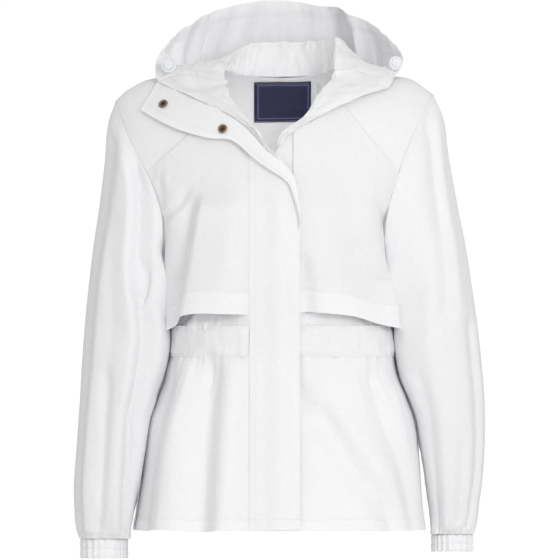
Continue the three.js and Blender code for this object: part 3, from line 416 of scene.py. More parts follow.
def crumple(u, v, seed, depth=1.0, size=1.0):
    """Small uneven wrinkles of thin nylon: long soft waves with a few sharper ridges."""
    u, v = u / size, v / size
    warp = 6 * noise(u / 70, v / 70, seed + 1)
    long = noise((u + warp) / 46, v / 92, seed)
    ridge = 1 - 2 * np.abs(noise((u + 0.6 * v) / 40 + 0.1 * warp, (v - 0.5 * u) / 66, seed + 2))
    fine = noise(u / 13, v / 19, seed + 3)
    return depth * (0.8 * long + 0.35 * np.maximum(ridge, 0) ** 3 + 0.16 * fine)


def crease_heights(x, z, creases, fade=34.0, leaning=True):
    """Sum of the creases at points seen from the front, each with its own slope on either side."""
    total = np.zeros_like(x)
    for points, to_right, to_left, depth in creases:
        line = table("z x", *[(z_, x_) for x_, z_ in points])
        top, bottom = points[0][1], points[-1][1]
        middle = look_up(line, "x", z)
        lean = (look_up(line, "x", z + 2) - look_up(line, "x", z - 2)) / 4 if leaning else 0
        across = (x - middle) / np.sqrt(1 + lean**2)
        width = np.where(across < 0, to_right, to_left)
        ends = smooth_step((top - z) / fade) * smooth_step((z - bottom) / fade)
        total += depth * ends * fold(across, width)
    return total


# The torso's surface, addressed by its side (1 front, -1 back), its turn in degrees from the centre (the
# wearer's right is negative), and its rise: 0 at the hem, 1 at the chest line, 2 at the shoulder line.
def half_width(z, sign):
    return np.where(sign < 0, look_up(TORSO, "right", z), look_up(TORSO, "left", z))


def shoulder_height(x):
    return np.where(x < 0, look_up(SHOULDER, "right", np.abs(x)), look_up(SHOULDER, "left", np.abs(x)))


def torso_point(side, turn, rise):
    sign = np.where(turn < 0, -1.0, 1.0)
    angle = np.radians(np.minimum(np.abs(turn), 90))
    section = lerp(HEM_Z, CHEST_Z, np.minimum(rise, 1))
    power = look_up(TORSO, "power", section)
    depth = look_up(TORSO, "front" if side > 0 else "back", section)
    x = sign * half_width(section, sign) * np.sin(angle) ** (2 / power)
    y = -side * depth * np.maximum(np.cos(angle), 0) ** (2 / power)
    over = np.radians(90 * (2 - np.clip(rise, 1, 2)))
    top = shoulder_height(x)
    high = top - (1 - np.cos(over)) * (top - CHEST_Z)
    return np.stack([x, y * np.sin(over), np.where(rise > 1, high, section)], axis=-1)


def address_of(side, x, z):
    x, z = np.broadcast_arrays(np.asarray(x, float), np.asarray(z, float))
    sign = np.where(x < 0, -1.0, 1.0)
    section = np.minimum(z, CHEST_Z)
    power = look_up(TORSO, "power", section)
    share = np.clip(np.abs(x) / half_width(section, sign), 0, 1)
    turn = sign * np.degrees(np.arcsin(share ** (power / 2)))
    top = shoulder_height(x)
    over = np.arccos(np.clip(1 - (top - z) / (top - CHEST_Z), 0, 1))
    return turn, np.where(z <= CHEST_Z, (z - HEM_Z) / (CHEST_Z - HEM_Z), 2 - np.degrees(over) / 90)


def torso_normal(side, turn, rise):
    step = 0.01
    turn = np.clip(turn, -89, 89)
    rise = np.clip(rise, step, 2 - step)
    across = torso_point(side, turn + 0.5, rise) - torso_point(side, turn - 0.5, rise)
    up = torso_point(side, turn, rise + step) - torso_point(side, turn, rise - step)
    return unit(side * np.cross(across, up))


def over_front(x, z, lift):
    """A point over the front, given its x, z and lift as they are seen from the front."""
    x, z, lift = np.broadcast_arrays(np.asarray(x, float), np.asarray(z, float), np.asarray(lift, float))
    turn, rise = address_of(1, x, z)
    point, normal = torso_point(1, turn, rise), torso_normal(1, turn, rise)
    y = point[..., 1] + lift * np.minimum(normal[..., 1], -0.55)
    return np.stack([x, y, z + lift * 0.25 * np.maximum(normal[..., 2], 0)], axis=-1)


def outer_turn(side, sign, rise):
    """Turn of the armhole or side seam at a rise, a seam gap short of it."""
    armhole, column = ARMHOLE[sign], "front" if side > 0 else "back"
    rise = np.asarray(rise, float)
    section = lerp(HEM_Z, CHEST_Z, np.minimum(rise, 1))
    inset = SEAM + 0.4 * UNDERARM_EASE * bump(section - UNDERARM_Z - 12, 16)
    along = address_of(side, sign * (look_up(armhole, column, section) - inset), section)[0]
    low, high = np.zeros_like(rise), np.full_like(rise, 89.0)
    for _ in range(26):
        turn = (low + high) / 2
        point = torso_point(side, sign * turn, rise)
        inside = np.abs(point[..., 0]) < look_up(armhole, column, point[..., 2]) - SEAM
        low, high = np.where(inside, turn, low), np.where(inside, high, turn)
    upper = np.where(rise > 1, sign * low, along)
    return np.where(section < UNDERARM_Z, sign * 89.6, upper)


def rise_to_edge(side, turn_at, edge, sign, gap, columns):
    """The rise at which each column of a panel reaches an edge given as heights over x."""
    low, high = np.full(columns, 0.02), np.full(columns, 1.995)
    for _ in range(30):
        rise = (low + high) / 2
        point = torso_point(side, turn_at(rise), rise)
        below = point[..., 2] < look_up(edge, "z", sign * point[..., 0]) + gap
        low, high = np.where(below, rise, low), np.where(below, high, rise)
    return low


def shoulder_rise(side, turn):
    depth = np.abs(torso_point(side, turn, np.ones_like(turn))[..., 1])
    return 2 - np.degrees(np.arcsin(np.minimum(SEAM / depth, 1))) / 90


def turn_at_x(side, x):
    return lambda rise: address_of(side, x, lerp(HEM_Z, CHEST_Z, np.minimum(rise, 1)))[0]


# Height along the cloth in millimetres from the hem, and back to a rise
def cloth_height(rise):
    return np.where(rise > 1, 507 + (rise - 1) * CHEST_ARC, rise * 507)


def rise_at(height):
    return np.where(height > 507, 1 + (height - 507) / CHEST_ARC, height / 507)


def spread(length, edges=(True, True), cell=CELL):
    """Places from 0 to 1 over a length, closer together at a sewn or folded edge."""
    count = max(int(round(length / cell)), 4)
    places = np.linspace(0, 1, count + 1)
    near = np.array([0.7, 1.6, 2.6]) / length
    middle = places[(places > near[-1] * edges[0]) & (places < 1 - near[-1] * edges[1])]
    parts = [[0.0], near if edges[0] else [], middle, 1 - near[::-1] if edges[1] else [], [1.0]]
    return np.unique(np.round(np.concatenate(parts), 7))


def rows_with_hem(length, hem):
    """Rows of a panel whose lower edge is folded up: heights above the edge, then shares of the rest."""
    steps = np.array([0, 0.7, 1.6, 4, 8, 12, 16, 20, 24, 28, 32, 36, 40])
    low = np.concatenate([steps[steps < hem - 2.6], [hem - 1.6, hem - 0.6, hem, hem + 0.6, hem + 1.6]])
    share = spread(length - hem, (False, True))[1:]
    above = np.concatenate([low, np.full(len(share), low[-1])])
    return above, np.concatenate([np.zeros(len(low)), share])


def grid_normals(grid, closed=False):
    across = np.empty_like(grid)
    up = np.empty_like(grid)
    if closed:
        across[:] = np.roll(grid, -1, axis=1) - np.roll(grid, 1, axis=1)
    else:
        across[:, 1:-1] = grid[:, 2:] - grid[:, :-2]
        across[:, 0] = grid[:, 1] - grid[:, 0]
        across[:, -1] = grid[:, -1] - grid[:, -2]
    up[1:-1] = grid[2:] - grid[:-2]
    up[0] = grid[1] - grid[0]
    up[-1] = grid[-1] - grid[-2]
    return unit(np.cross(across, up))


def cloth_lengths(grid, closed=False):
    """Lengths over the cloth in millimetres: along the rows and up the columns."""
    ring = np.concatenate([grid, grid[:, :1]], axis=1) if closed else grid
    across = np.linalg.norm(np.diff(ring, axis=1), axis=-1)
    up = np.linalg.norm(np.diff(grid, axis=0), axis=-1)
    u = np.concatenate([[0], np.cumsum(across.mean(axis=0))])
    v = np.concatenate([[0], np.cumsum(up.mean(axis=1))])
    return u, v


def seam_dips(columns, rows, widths, depth=0.4):
    """Rounds the cloth in at its sewn edges. Widths are left, right, bottom and top, 0 for a free edge."""
    i, j = np.meshgrid(np.arange(columns), np.arange(rows))
    far = [i, columns - 1 - i, j, rows - 1 - j]
    dip = np.zeros((rows, columns))
    for distance, width in zip(far, widths):
        if width:
            dip = np.maximum(dip, np.clip(1 - distance / width, 0, 1) ** 1.6)
    return -depth * dip


def deselect_all():
    for thing in bpy.context.selected_objects:
        thing.select_set(False)


def shell(
    name, grid, out, material, nodes=(), thickness=CLOTH, closed=False, flat=None, held="hung", lining=None
):
    """A closed thin wall from a grid of points. out is 1 where columns x rows face outwards."""
    rows, columns = grid.shape[:2]
    thick = np.broadcast_to(np.asarray(thickness, float), (rows, columns))[..., None]
    inner = grid - out * thick * grid_normals(grid, closed)
    points = np.concatenate([grid.reshape(-1, 3), inner.reshape(-1, 3)]) / 1000
    cells = columns if closed else columns - 1
    j, i = np.meshgrid(np.arange(rows - 1), np.arange(cells), indexing="ij")
    right = (i + 1) % columns
    back = rows * columns
    a, b, c, d = j * columns + i, j * columns + right, (j + 1) * columns + right, (j + 1) * columns + i
    faces = [np.stack([a, b, c, d], -1).reshape(-1, 4), back + np.stack([a, d, c, b], -1).reshape(-1, 4)]
    e = np.arange(cells)
    f = (e + 1) % columns
    top = (rows - 1) * columns
    faces.append(np.stack([f, e, back + e, back + f], -1))
    faces.append(np.stack([top + e, top + f, back + top + f, back + top + e], -1))
    if not closed:
        e = np.arange(rows - 1) * columns
        f = e + columns
        last = columns - 1
        faces.append(np.stack([e, f, back + f, back + e], -1))
        faces.append(np.stack([f + last, e + last, back + e + last, back + f + last], -1))
    faces = np.concatenate(faces)
    if out < 0:
        faces = faces[:, ::-1]
    name = name + "_cloth"
    mesh = bpy.data.meshes.new(name)
    mesh.vertices.add(len(points))
    mesh.vertices.foreach_set("co", points.ravel())
    mesh.loops.add(faces.size)
    mesh.loops.foreach_set("vertex_index", faces.ravel())
    mesh.polygons.add(len(faces))
    mesh.polygons.foreach_set("loop_start", np.arange(0, faces.size, 4))
    slots = np.zeros(len(faces), dtype=int)
    cells_in_layer = (rows - 1) * cells
    slots[cells_in_layer : 2 * cells_in_layer] = 1
    mesh.materials.append(material)
    mesh.materials.append(lining or material)
    mesh.polygons.foreach_set("material_index", slots)
    mesh.update(calc_edges=True)
    u, v = cloth_lengths(grid, closed)
    over = np.stack(np.meshgrid(u[:columns], v), -1).reshape(-1, 2) / 1000
    over = np.concatenate([over, over])
    chart = mesh.uv_layers.new(name="cloth")
    uv = over[faces.ravel()]
    if closed:
        wrapped = (faces % columns == 0) & ((faces % columns).max(axis=1) == columns - 1)[:, None]
        uv[wrapped.ravel(), 0] = u[-1] / 1000
    chart.data.foreach_set("uv", uv.ravel())
    mesh.validate()
    piece = bpy.data.objects.new(name, mesh)
    bpy.context.collection.objects.link(piece)
    deselect_all()
    piece.select_set(True)
    bpy.context.view_layer.objects.active = piece
    bpy.ops.object.shade_smooth_by_angle(angle=math.radians(55))
    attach(piece, "root")
    if nodes:
        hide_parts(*nodes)
    return piece


stitch_runs = []


def add_stitches(line, normals):
    """Notes a line of topstitching that runs over the cloth."""
    stitch_runs.append((np.asarray(line), np.asarray(normals)))


# Materials
def add_node(tree, kind, **settings):
    node = tree.nodes.new(kind)
    for key, value in settings.items():
        setattr(node, key, value)
    return node


def math_node(tree, operation, first, second=None):
    node = add_node(tree, "ShaderNodeMath", operation=operation)
    for socket, value in zip(node.inputs, (first, second)):
        if isinstance(value, bpy.types.NodeSocket):
            tree.links.new(value, socket)
        elif value is not None:
            socket.default_value = value
    return node.outputs[0]


def new_group(name, inputs, outputs):
    tree = bpy.data.node_groups.new(name, "ShaderNodeTree")
    for label, kind, default in inputs:
        socket = tree.interface.new_socket(name=label, in_out="INPUT", socket_type=kind)
        if default is not None:
            socket.default_value = default
    for label, kind in outputs:
        tree.interface.new_socket(name=label, in_out="OUTPUT", socket_type=kind)
    return tree, tree.nodes.new("NodeGroupInput"), tree.nodes.new("NodeGroupOutput")


def make_weave_group():
    """Plain weave: the height of crossing threads."""
    tree, given, result = new_group(
        "plain_weave",
        [("Vector", "NodeSocketVector", None), ("Threads", "NodeSocketFloat", 2400.0)],
        [("Height", "NodeSocketFloat")],
    )
    parts = add_node(tree, "ShaderNodeSeparateXYZ")
    tree.links.new(given.outputs["Vector"], parts.inputs[0])
    waves = []
    for axis in (0, 1):
        turn = math_node(tree, "MULTIPLY", parts.outputs[axis], given.outputs["Threads"])
        waves.append(math_node(tree, "SINE", math_node(tree, "MULTIPLY", turn, math.pi)))
    crossing = math_node(tree, "MULTIPLY", waves[0], waves[1])
    height = math_node(tree, "MULTIPLY_ADD", crossing, 0.5)
    height.node.inputs[2].default_value = 0.5
    tree.links.new(height, result.inputs["Height"])
    return tree


def make_crinkle_group():
    """Soft crinkles of thin cloth at two sizes, and a cloudy shade."""
    tree, given, result = new_group(
        "soft_crinkle",
        [
            ("Vector", "NodeSocketVector", None),
            ("Size", "NodeSocketFloat", 60.0),
            ("Sharp", "NodeSocketFloat", 0.4),
        ],
        [("Height", "NodeSocketFloat"), ("Shade", "NodeSocketFloat")],
    )
    large = add_node(tree, "ShaderNodeTexNoise", noise_dimensions="3D")
    large.inputs["Detail"].default_value = 3
    large.inputs["Distortion"].default_value = 0.6
    tree.links.new(given.outputs["Vector"], large.inputs["Vector"])
    tree.links.new(given.outputs["Size"], large.inputs["Scale"])
    small = add_node(tree, "ShaderNodeTexNoise", noise_dimensions="3D")
    small.inputs["Detail"].default_value = 2
    tree.links.new(given.outputs["Vector"], small.inputs["Vector"])
    tree.links.new(math_node(tree, "MULTIPLY", given.outputs["Size"], 5.0), small.inputs["Scale"])
    ridge = math_node(tree, "ABSOLUTE", math_node(tree, "SUBTRACT", large.outputs["Fac"], 0.5))
    sharp = math_node(tree, "MULTIPLY", ridge, given.outputs["Sharp"])
    fine = math_node(tree, "MULTIPLY", small.outputs["Fac"], 0.12)
    height = math_node(tree, "ADD", math_node(tree, "SUBTRACT", large.outputs["Fac"], sharp), fine)
    tree.links.new(height, result.inputs["Height"])
    tree.links.new(small.outputs["Fac"], result.inputs["Shade"])
    return tree


WEAVE = make_weave_group()
CRINKLE = make_crinkle_group()


def place_group(tree, group, vector, **values):
    node = add_node(tree, "ShaderNodeGroup", node_tree=group)
    tree.links.new(vector, node.inputs["Vector"])
    for name, value in values.items():
        node.inputs[name].default_value = value
    return node


def mix_colours(tree, factor, first, second):
    node = add_node(tree, "ShaderNodeMix", data_type="RGBA")
    tree.links.new(factor, node.inputs["Factor"])
    node.inputs[6].default_value = (*first, 1)
    node.inputs[7].default_value = (*second, 1)
    return node.outputs[2]


def map_range(tree, value, low, high, source=(0.35, 0.65)):
    node = add_node(tree, "ShaderNodeMapRange")
    tree.links.new(value, node.inputs["Value"])
    for socket, number in zip(("From Min", "From Max", "To Min", "To Max"), (*source, low, high)):
        node.inputs[socket].default_value = number
    return node.outputs["Result"]


def bump_node(tree, height, distance, strength=1.0, normal=None):
    node = add_node(tree, "ShaderNodeBump")
    node.inputs["Distance"].default_value = distance
    node.inputs["Strength"].default_value = strength
    tree.links.new(height, node.inputs["Height"])
    if normal is not None:
        tree.links.new(normal, node.inputs["Normal"])
    return node.outputs["Normal"]


def new_material(name):
    material = bpy.data.materials.new(name)
    material.use_nodes = True
    return material, material.node_tree, material.node_tree.nodes["Principled BSDF"]


def cloth_material(
    name, light, dark, roughness, threads, crinkle_size, crinkle_depth, sheen=0.1, through=0.0
):
    """Woven cloth with its threads, crinkles and slightly uneven colour, laid out on its own chart."""
    material, tree, shader = new_material(name)
    chart = add_node(tree, "ShaderNodeUVMap", uv_map="cloth").outputs["UV"]
    weave = place_group(tree, WEAVE, chart, Threads=threads)
    crinkle = place_group(tree, CRINKLE, chart, Size=crinkle_size, Sharp=0.5)
    colour = mix_colours(tree, map_range(tree, crinkle.outputs["Shade"], 0, 1), light, dark)
    tree.links.new(colour, shader.inputs["Base Color"])
    tree.links.new(map_range(tree, crinkle.outputs["Height"], *roughness), shader.inputs["Roughness"])
    creased = bump_node(tree, crinkle.outputs["Height"], crinkle_depth, 0.8)
    tree.links.new(bump_node(tree, weave.outputs["Height"], 0.00006, 0.35, creased), shader.inputs["Normal"])
    shader.inputs["Sheen Weight"].default_value = sheen
    shader.inputs["Sheen Roughness"].default_value = 0.5
    shader.inputs["Specular IOR Level"].default_value = 0.35
    if through:
        shader.inputs["Subsurface Weight"].default_value = through
        shader.inputs["Subsurface Radius"].default_value = (0.002, 0.002, 0.002)
        shader.inputs["Subsurface Scale"].default_value = 1.0
    return material


def hard_material(name, light, dark, roughness, metallic=0.0, grain=400.0, depth=0.00004):
    """Moulded plastic or metal, with fine grain and wear in its colour and gloss."""
    material, tree, shader = new_material(name)
    place = add_node(tree, "ShaderNodeTexCoord").outputs["Object"]
    crinkle = place_group(tree, CRINKLE, place, Size=grain, Sharp=0.2)
    colour = mix_colours(tree, map_range(tree, crinkle.outputs["Shade"], 0, 1), light, dark)
    tree.links.new(colour, shader.inputs["Base Color"])
    tree.links.new(map_range(tree, crinkle.outputs["Height"], *roughness), shader.inputs["Roughness"])
    tree.links.new(bump_node(tree, crinkle.outputs["Height"], depth, 0.5), shader.inputs["Normal"])
    shader.inputs["Metallic"].default_value = metallic
    return material


SHELL = cloth_material(
    "rain_shell", (0.87, 0.87, 0.88), (0.85, 0.85, 0.865), (0.5, 0.62), 2600, 42, 0.0011, through=0.35
)
LINING = cloth_material(
    "rain_shell_inside", (0.89, 0.89, 0.90), (0.87, 0.87, 0.885), (0.42, 0.55), 2600, 55, 0.0010, through=0.35
)
EDGING = cloth_material(
    "folded_edge", (0.88, 0.88, 0.885), (0.86, 0.86, 0.87), (0.5, 0.62), 2600, 70, 0.0006, through=0.5
)
LABEL_CLOTH = cloth_material(
    "label_weave", (0.018, 0.018, 0.065), (0.012, 0.012, 0.045), (0.6, 0.75), 3200, 260, 0.0002
)
LABEL_LINE = cloth_material(
    "label_border", (0.10, 0.10, 0.24), (0.08, 0.08, 0.20), (0.5, 0.6), 3200, 260, 0.0002
)
THREAD = hard_material("sewing_thread", (0.80, 0.81, 0.82), (0.70, 0.71, 0.73), (0.5, 0.65), 0, 2500, 0.0001)
BRASS = hard_material(
    "darkened_brass", (0.42, 0.31, 0.19), (0.22, 0.16, 0.11), (0.22, 0.42), 1.0, 900, 0.00003
)
# Near-black metal for the floor of each snap's well: painted shade standing in for the shadow inside the
# socket
SOCKET_SHADE = hard_material(
    "socket_shadow", (0.05, 0.042, 0.038), (0.03, 0.026, 0.024), (0.4, 0.6), 1.0, 900, 0.00003
)
TOGGLE = hard_material(
    "toggle_plastic", (0.80, 0.81, 0.82), (0.76, 0.77, 0.785), (0.34, 0.46), 0, 500, 0.00004
)


# Heights of the cloth off the torso's own form
def gathers(arc, pitch, seed):
    """Uneven ripples of gathered cloth along a length."""
    uneven = 0.7 * noise(arc / (4 * pitch), np.full_like(arc, 0.5), seed)
    size = 0.75 + 0.5 * noise(arc / (2.3 * pitch), np.full_like(arc, 7.5), seed + 1)
    return np.sin(2 * math.pi * (arc / pitch + uneven)) * size


def waist_pull(grid, pitch=11.0, seed=3):
    """Gathers that spread from the waist cord into the panels above and below."""
    row = np.abs(grid[:, grid.shape[1] // 2, 2] - WAIST_BOTTOM_Z).argmin()
    arc = np.concatenate([[0], np.cumsum(np.linalg.norm(np.diff(grid[row], axis=0), axis=-1))])
    z = grid[..., 2]
    below = np.exp(-np.maximum(WAIST_BOTTOM_Z - z, 0) / 34)
    above = np.exp(-np.maximum(z - WAIST_TOP_Z, 0) / 22)
    long = gathers(arc * 0.5, pitch, seed + 5) * np.exp(-np.maximum(WAIST_BOTTOM_Z - z, 0) / 90)
    return 1.2 * below * above * gathers(arc, pitch, seed) + 1.0 * long * above



def torso_creases(x, z):
    return CREASE_DEPTH * (crease_heights(x, z, SKIRT_CREASES) + crease_heights(x, z, CHEST_CREASES))


def front_relief(x, z):
    vent = -np.where(x < 0, VENT_DEPTH, 0.4 * VENT_DEPTH) * bump(z + 324, 13)
    vent = vent * smooth_step((np.abs(x + 6) - 34) / 44) * smooth_step((150 - np.abs(x)) / 30)
    return torso_creases(x, z) + vent


def hem_fold(above, hem, along):
    """A folded and stitched hem: a little proud below its stitches, with small puckers along them."""
    proud = 0.55 * smooth_step((hem - above) / 1.2 + 0.5)
    groove = -0.45 * bump(above - hem + 0.3, 1.3)
    pucker = 0.4 * noise(along / 9, above / 30, 21) * bump(above - hem, 9)
    return proud + groove + pucker


def panel(
    name, node, side, sign, outer, inner, top,
    bottom=None, width=190, hem=0, sewn=(3, 3, 0, 3), relief=None, **made
):
    """A panel on the torso's form, from its two side edges, its top and its lower edge."""
    u = spread(width, (sewn[0] > 0, sewn[1] > 0))

    def turn_at(rise):
        return lerp(outer(rise), inner(rise), u)

    top_height = cloth_height(top(turn_at, len(u)))
    low = cloth_height(bottom(turn_at, len(u))) if bottom else np.zeros(len(u))
    length = float((top_height - low).max())
    if hem:
        above, share = rows_with_hem(length, hem)
    else:
        share = spread(length)
        above = np.zeros(len(share))
    height = low + above[:, None] + share[:, None] * (top_height - low - above[-1])
    rise = rise_at(height)
    turn = turn_at(rise)
    base, normal = torso_point(side, turn, rise), torso_normal(side, turn, rise)
    field = relief(base, height - low, u) + seam_dips(len(u), len(above), sewn)
    if hem:
        field = field + hem_fold(height - low, hem, base[..., 0])
    grid = base + normal * field[..., None]
    out = -1 if side * sign > 0 else 1
    thick = CLOTH + (DOUBLE - CLOTH) * smooth_step((hem - (height - low)) / 1.2 + 0.5) if hem else CLOTH
    piece = shell(name, grid, out, SHELL, (node,), thick, lining=LINING, **made)
    if hem:
        row = int(np.abs(above - (hem - 0.6)).argmin())
        add_stitches(grid[row], normal[row])
    return piece, grid, normal


def stitch_column(grid, normal, column, rows=slice(None)):
    add_stitches(grid[rows, column], normal[rows, column])


def stitch_row(grid, normal, row, columns=slice(None)):
    add_stitches(grid[row, columns], normal[row, columns])


def make_front(name, sign, flat):
    edge = FRONT_TOP[sign]

    def relief(base, above, u):
        x, z = base[..., 0], base[..., 2]
        return front_relief(x, z) + waist_pull(base, seed=3 + sign) + crumple(x, z, 40 + sign, 0.9)

    piece, grid, normal = panel(
        name,
        name,
        1,
        sign,
        lambda rise: outer_turn(1, sign, rise),
        turn_at_x(1, CENTRE_FRONT_X + sign * 0.8),
        lambda turn_at, n: rise_to_edge(1, turn_at, edge, sign, -SEAM, n),
        hem=16,
        width=215,
        relief=relief,
        flat=flat,
    )
    stitch_column(grid, normal, 4)
    return piece


def make_yoke(name, sign, flat):
    edge, neck_x = FRONT_TOP[sign], YOKE_NECK_X[sign]

    def relief(base, above, u):
        x, z = base[..., 0], base[..., 2]
        return CREASE_DEPTH * crease_heights(x, z, CHEST_CREASES) + crumple(x, z, 50 + sign, 0.8)

    piece, grid, normal = panel(
        name,
        name,
        1,
        sign,
        lambda rise: outer_turn(1, sign, rise),
        lambda rise: address_of(1, sign * lerp(neck_x, NECK_HALF, smooth_step(rise - 1)), CHEST_Z)[0],
        lambda turn_at, n: shoulder_rise(1, turn_at(np.full(n, 2.0))),
        lambda turn_at, n: rise_to_edge(1, turn_at, edge, sign, SEAM, n),
        width=130,
        sewn=(3, 0, 3, 3),
        relief=relief,
        flat=flat,
    )
    stitch_row(grid, normal, 4)
    stitch_row(grid, normal, -5)
    stitch_column(grid, normal, 4)
    return piece


def make_storm_flap(name, sign, flat):
    edge, hem_edge = FRONT_TOP[sign], FLAP_EDGE[sign]
    inner_x = PLACKET_LEFT_X + 1.6 if sign < 0 else FLAP_LEFT_X
    limit = sign * FLAP_SIDE_ANGLE

    def outer(rise):
        side = outer_turn(1, sign, rise) - sign * 0.7
        section = lerp(HEM_Z, CHEST_Z, np.minimum(rise, 1))
        below = smooth_step((UNDERARM_Z + 50 - section) / 50)
        return np.where(np.abs(side) < FLAP_SIDE_ANGLE, side, lerp(side, limit, np.maximum(below, 0.35)))

    def relief(base, above, u):
        x, z = base[..., 0], base[..., 2]
        across = (0.1 + 0.9 * smooth_step(u * 4)) * smooth_step((1 - u) * 5)
        height = above / above.max(axis=0)
        flat_end = 0.3 + 0.7 * smooth_step((1 - u) * 8) if sign < 0 else 1
        lift = FLAP_LIFT * (0.4 + 0.6 * smooth_step(u * 7)) * flat_end
        lift = lift + FLAP_HEM_LIFT * across * (1 - height) ** 2
        fullness = FLAP_FULLNESS * bump(u - 0.2, 0.17) * smooth_step(u * 9)
        lift = lift + fullness * smooth_step((1 - height) * 2.2)
        wave = 1.6 * noise(x / 46, np.full_like(x, 3.5), 61 + sign) * bump(above, 55) * across
        creases = CREASE_DEPTH * crease_heights(x, z, CHEST_CREASES)
        return lift + wave + creases + crumple(x, z, 60 + sign, 0.75)

    piece, grid, normal = panel(
        name,
        name,
        1,
        sign,
        outer,
        turn_at_x(1, inner_x),
        lambda turn_at, n: rise_to_edge(1, turn_at, edge, sign, -0.5, n),
        lambda turn_at, n: rise_to_edge(1, turn_at, hem_edge, sign, 0.0, n),
        hem=30,
        width=180,
        sewn=(3, 0, 0, 3),
        relief=relief,
        flat=flat,
    )
    stitch_column(grid, normal, 4)
    return piece


def make_back(flat):
    def neck(x):
        return NECK_BACK_Z + (17 - NECK_BACK_Z) * np.minimum(np.abs(x) / NECK_HALF, 1) ** 2

    def top(turn_at, count):
        high = shoulder_rise(-1, turn_at(np.full(count, 2.0)))
        low = np.full(count, 1.2)
        for _ in range(30):
            rise = (low + high) / 2
            point = torso_point(-1, turn_at(rise), rise)
            inside = (np.abs(point[..., 0]) >= NECK_HALF) | (point[..., 2] < neck(point[..., 0]))
            low, high = np.where(inside, rise, low), np.where(inside, high, rise)
        return low

    def relief(base, above, u):
        return back_relief(base[..., 0], base[..., 2]) + waist_pull(base, seed=9)

    piece, grid, normal = panel(
        "back",
        "back",
        -1,
        1,
        lambda rise: outer_turn(-1, -1, rise),
        lambda rise: outer_turn(-1, 1, rise),
        top,
        hem=16,
        width=440,
        relief=relief,
        flat=flat,
    )
    stitch_row(grid, normal, -5)
    return piece


def back_relief(x, z):
    return CREASE_DEPTH * crease_heights(x, z, BACK_CREASES) + crumple(x, z, 70, 0.9)


def make_casing(name, side, from_turn, to_turn, seed, flat):
    """Tunnel of the waist cord: puffed between its two rows of stitches, and gathered."""
    ends = torso_point(side, np.linspace(from_turn, to_turn, 60), np.full(60, WAIST_RISE))
    arc_at = np.concatenate([[0], np.cumsum(np.linalg.norm(np.diff(ends, axis=0), axis=-1))])
    u = spread(arc_at[-1], cell=2.6)
    v = np.unique(np.concatenate([np.linspace(0, 1, 15), [0.02, 0.05, 0.95, 0.98]]))
    turn = np.broadcast_to(lerp(from_turn, to_turn, u), (len(v), len(u)))
    z = lerp(WAIST_BOTTOM_Z, WAIST_TOP_Z, v)[:, None] + 0 * turn
    rise = (z - HEM_Z) / (CHEST_Z - HEM_Z)
    arc = np.interp(u, np.linspace(0, 1, 60), arc_at)
    edge = np.minimum(v, 1 - v)[:, None]
    puff = 1.3 * smooth_step(edge * 5)
    stitched = -0.5 * bump(edge * 43 - 3, 1.6)
    fold = 0.55 * gathers(arc, 13.0, seed) * np.exp(-v[:, None] * 2.2)
    fold = fold + 1.5 * noise(arc / 19, v[:, None] * 1.6 + 0 * turn, seed + 4)
    fold = fold + 0.8 * noise(arc / 8, v[:, None] * 1.3 + 0 * turn, seed + 6)
    field = 1.4 + puff + stitched + fold + front_or_back(side, torso_point(side, turn, rise))
    base, normal = torso_point(side, turn, rise), torso_normal(side, turn, rise)
    grid = base + normal * field[..., None]
    out = -1 if side < 0 or from_turn > to_turn else 1
    piece = shell(name, grid, out, SHELL, (name,), 0.9, lining=LINING, flat=flat, held="gathered")
    stitch_row(grid, normal, 2)
    stitch_row(grid, normal, -3)
    return piece


def front_or_back(side, base):
    x, z = base[..., 0], base[..., 2]
    return CREASE_DEPTH * crease_heights(x, z, SKIRT_CREASES if side > 0 else BACK_CREASES)


def make_placket(flat):
    u = spread(70)
    width = lerp(PLACKET_LEFT_X, PLACKET_RIGHT_X, u)
    top = look_up(PLACKET_TOP, "z", width)
    above, share = rows_with_hem(500, 16)
    z = HEM_Z + above[:, None] + share[:, None] * (top - HEM_Z - above[-1])
    x = np.broadcast_to(width, z.shape)
    turn, rise = address_of(1, x, z)
    base, normal = torso_point(1, turn, rise), torso_normal(1, turn, rise)
    lift = lerp(2.0, 6.4, smooth_step(u * 1.2)) + 3.0 * np.exp(-(top - z) / 7)
    relief = torso_creases(x, z)
    board = 0.9 * bump(x + 3, 7) - 0.7 * bump(x + 20, 8) - 0.6 * bump(x - 14, 6)
    field = lift + relief + board * smooth_step((top - z) / 60) + crumple(x, z, 81, 0.7)
    field = field + hem_fold(z - HEM_Z, 16, x)
    field = field + seam_dips(len(u), len(above), (3, 0, 0, 0), 0.2)
    grid = base + normal * field[..., None]
    piece = shell("placket", grid, 1, SHELL, ("placket",), DOUBLE, lining=LINING, flat=flat)
    stitch_column(grid, normal, 5)
    stitch_column(grid, normal, -4)
    stitch_row(grid, normal, int(np.abs(above - 15.4).argmin()))
    return piece


def facing_point(along, up):
    """A point of the turned out top of the placket: along its rows, and up from its free to its sewn edge."""
    value = {name: look_up(FACING, name, along) for name in FACING if name not in ("key", "row")}
    free = over_front(value["free_x"], value["free_z"], value["free_lift"])
    sewn = over_front(value["sewn_x"], value["sewn_z"], value["sewn_lift"])
    middle = over_front(
        (value["free_x"] + value["sewn_x"]) / 2,
        (value["free_z"] + value["sewn_z"]) / 2,
        (value["free_lift"] + value["sewn_lift"]) / 2 + 1.5,
    )
    up = np.asarray(up)[..., None]
    under = np.array([0, 1.6, 0.5]) * np.maximum(up - 0.98, 0) / 0.1
    return (1 - up) ** 2 * free + 2 * up * (1 - up) * middle + up**2 * sewn + under


FACING_UNDER = 1.22  # the facing runs on a little under the collar


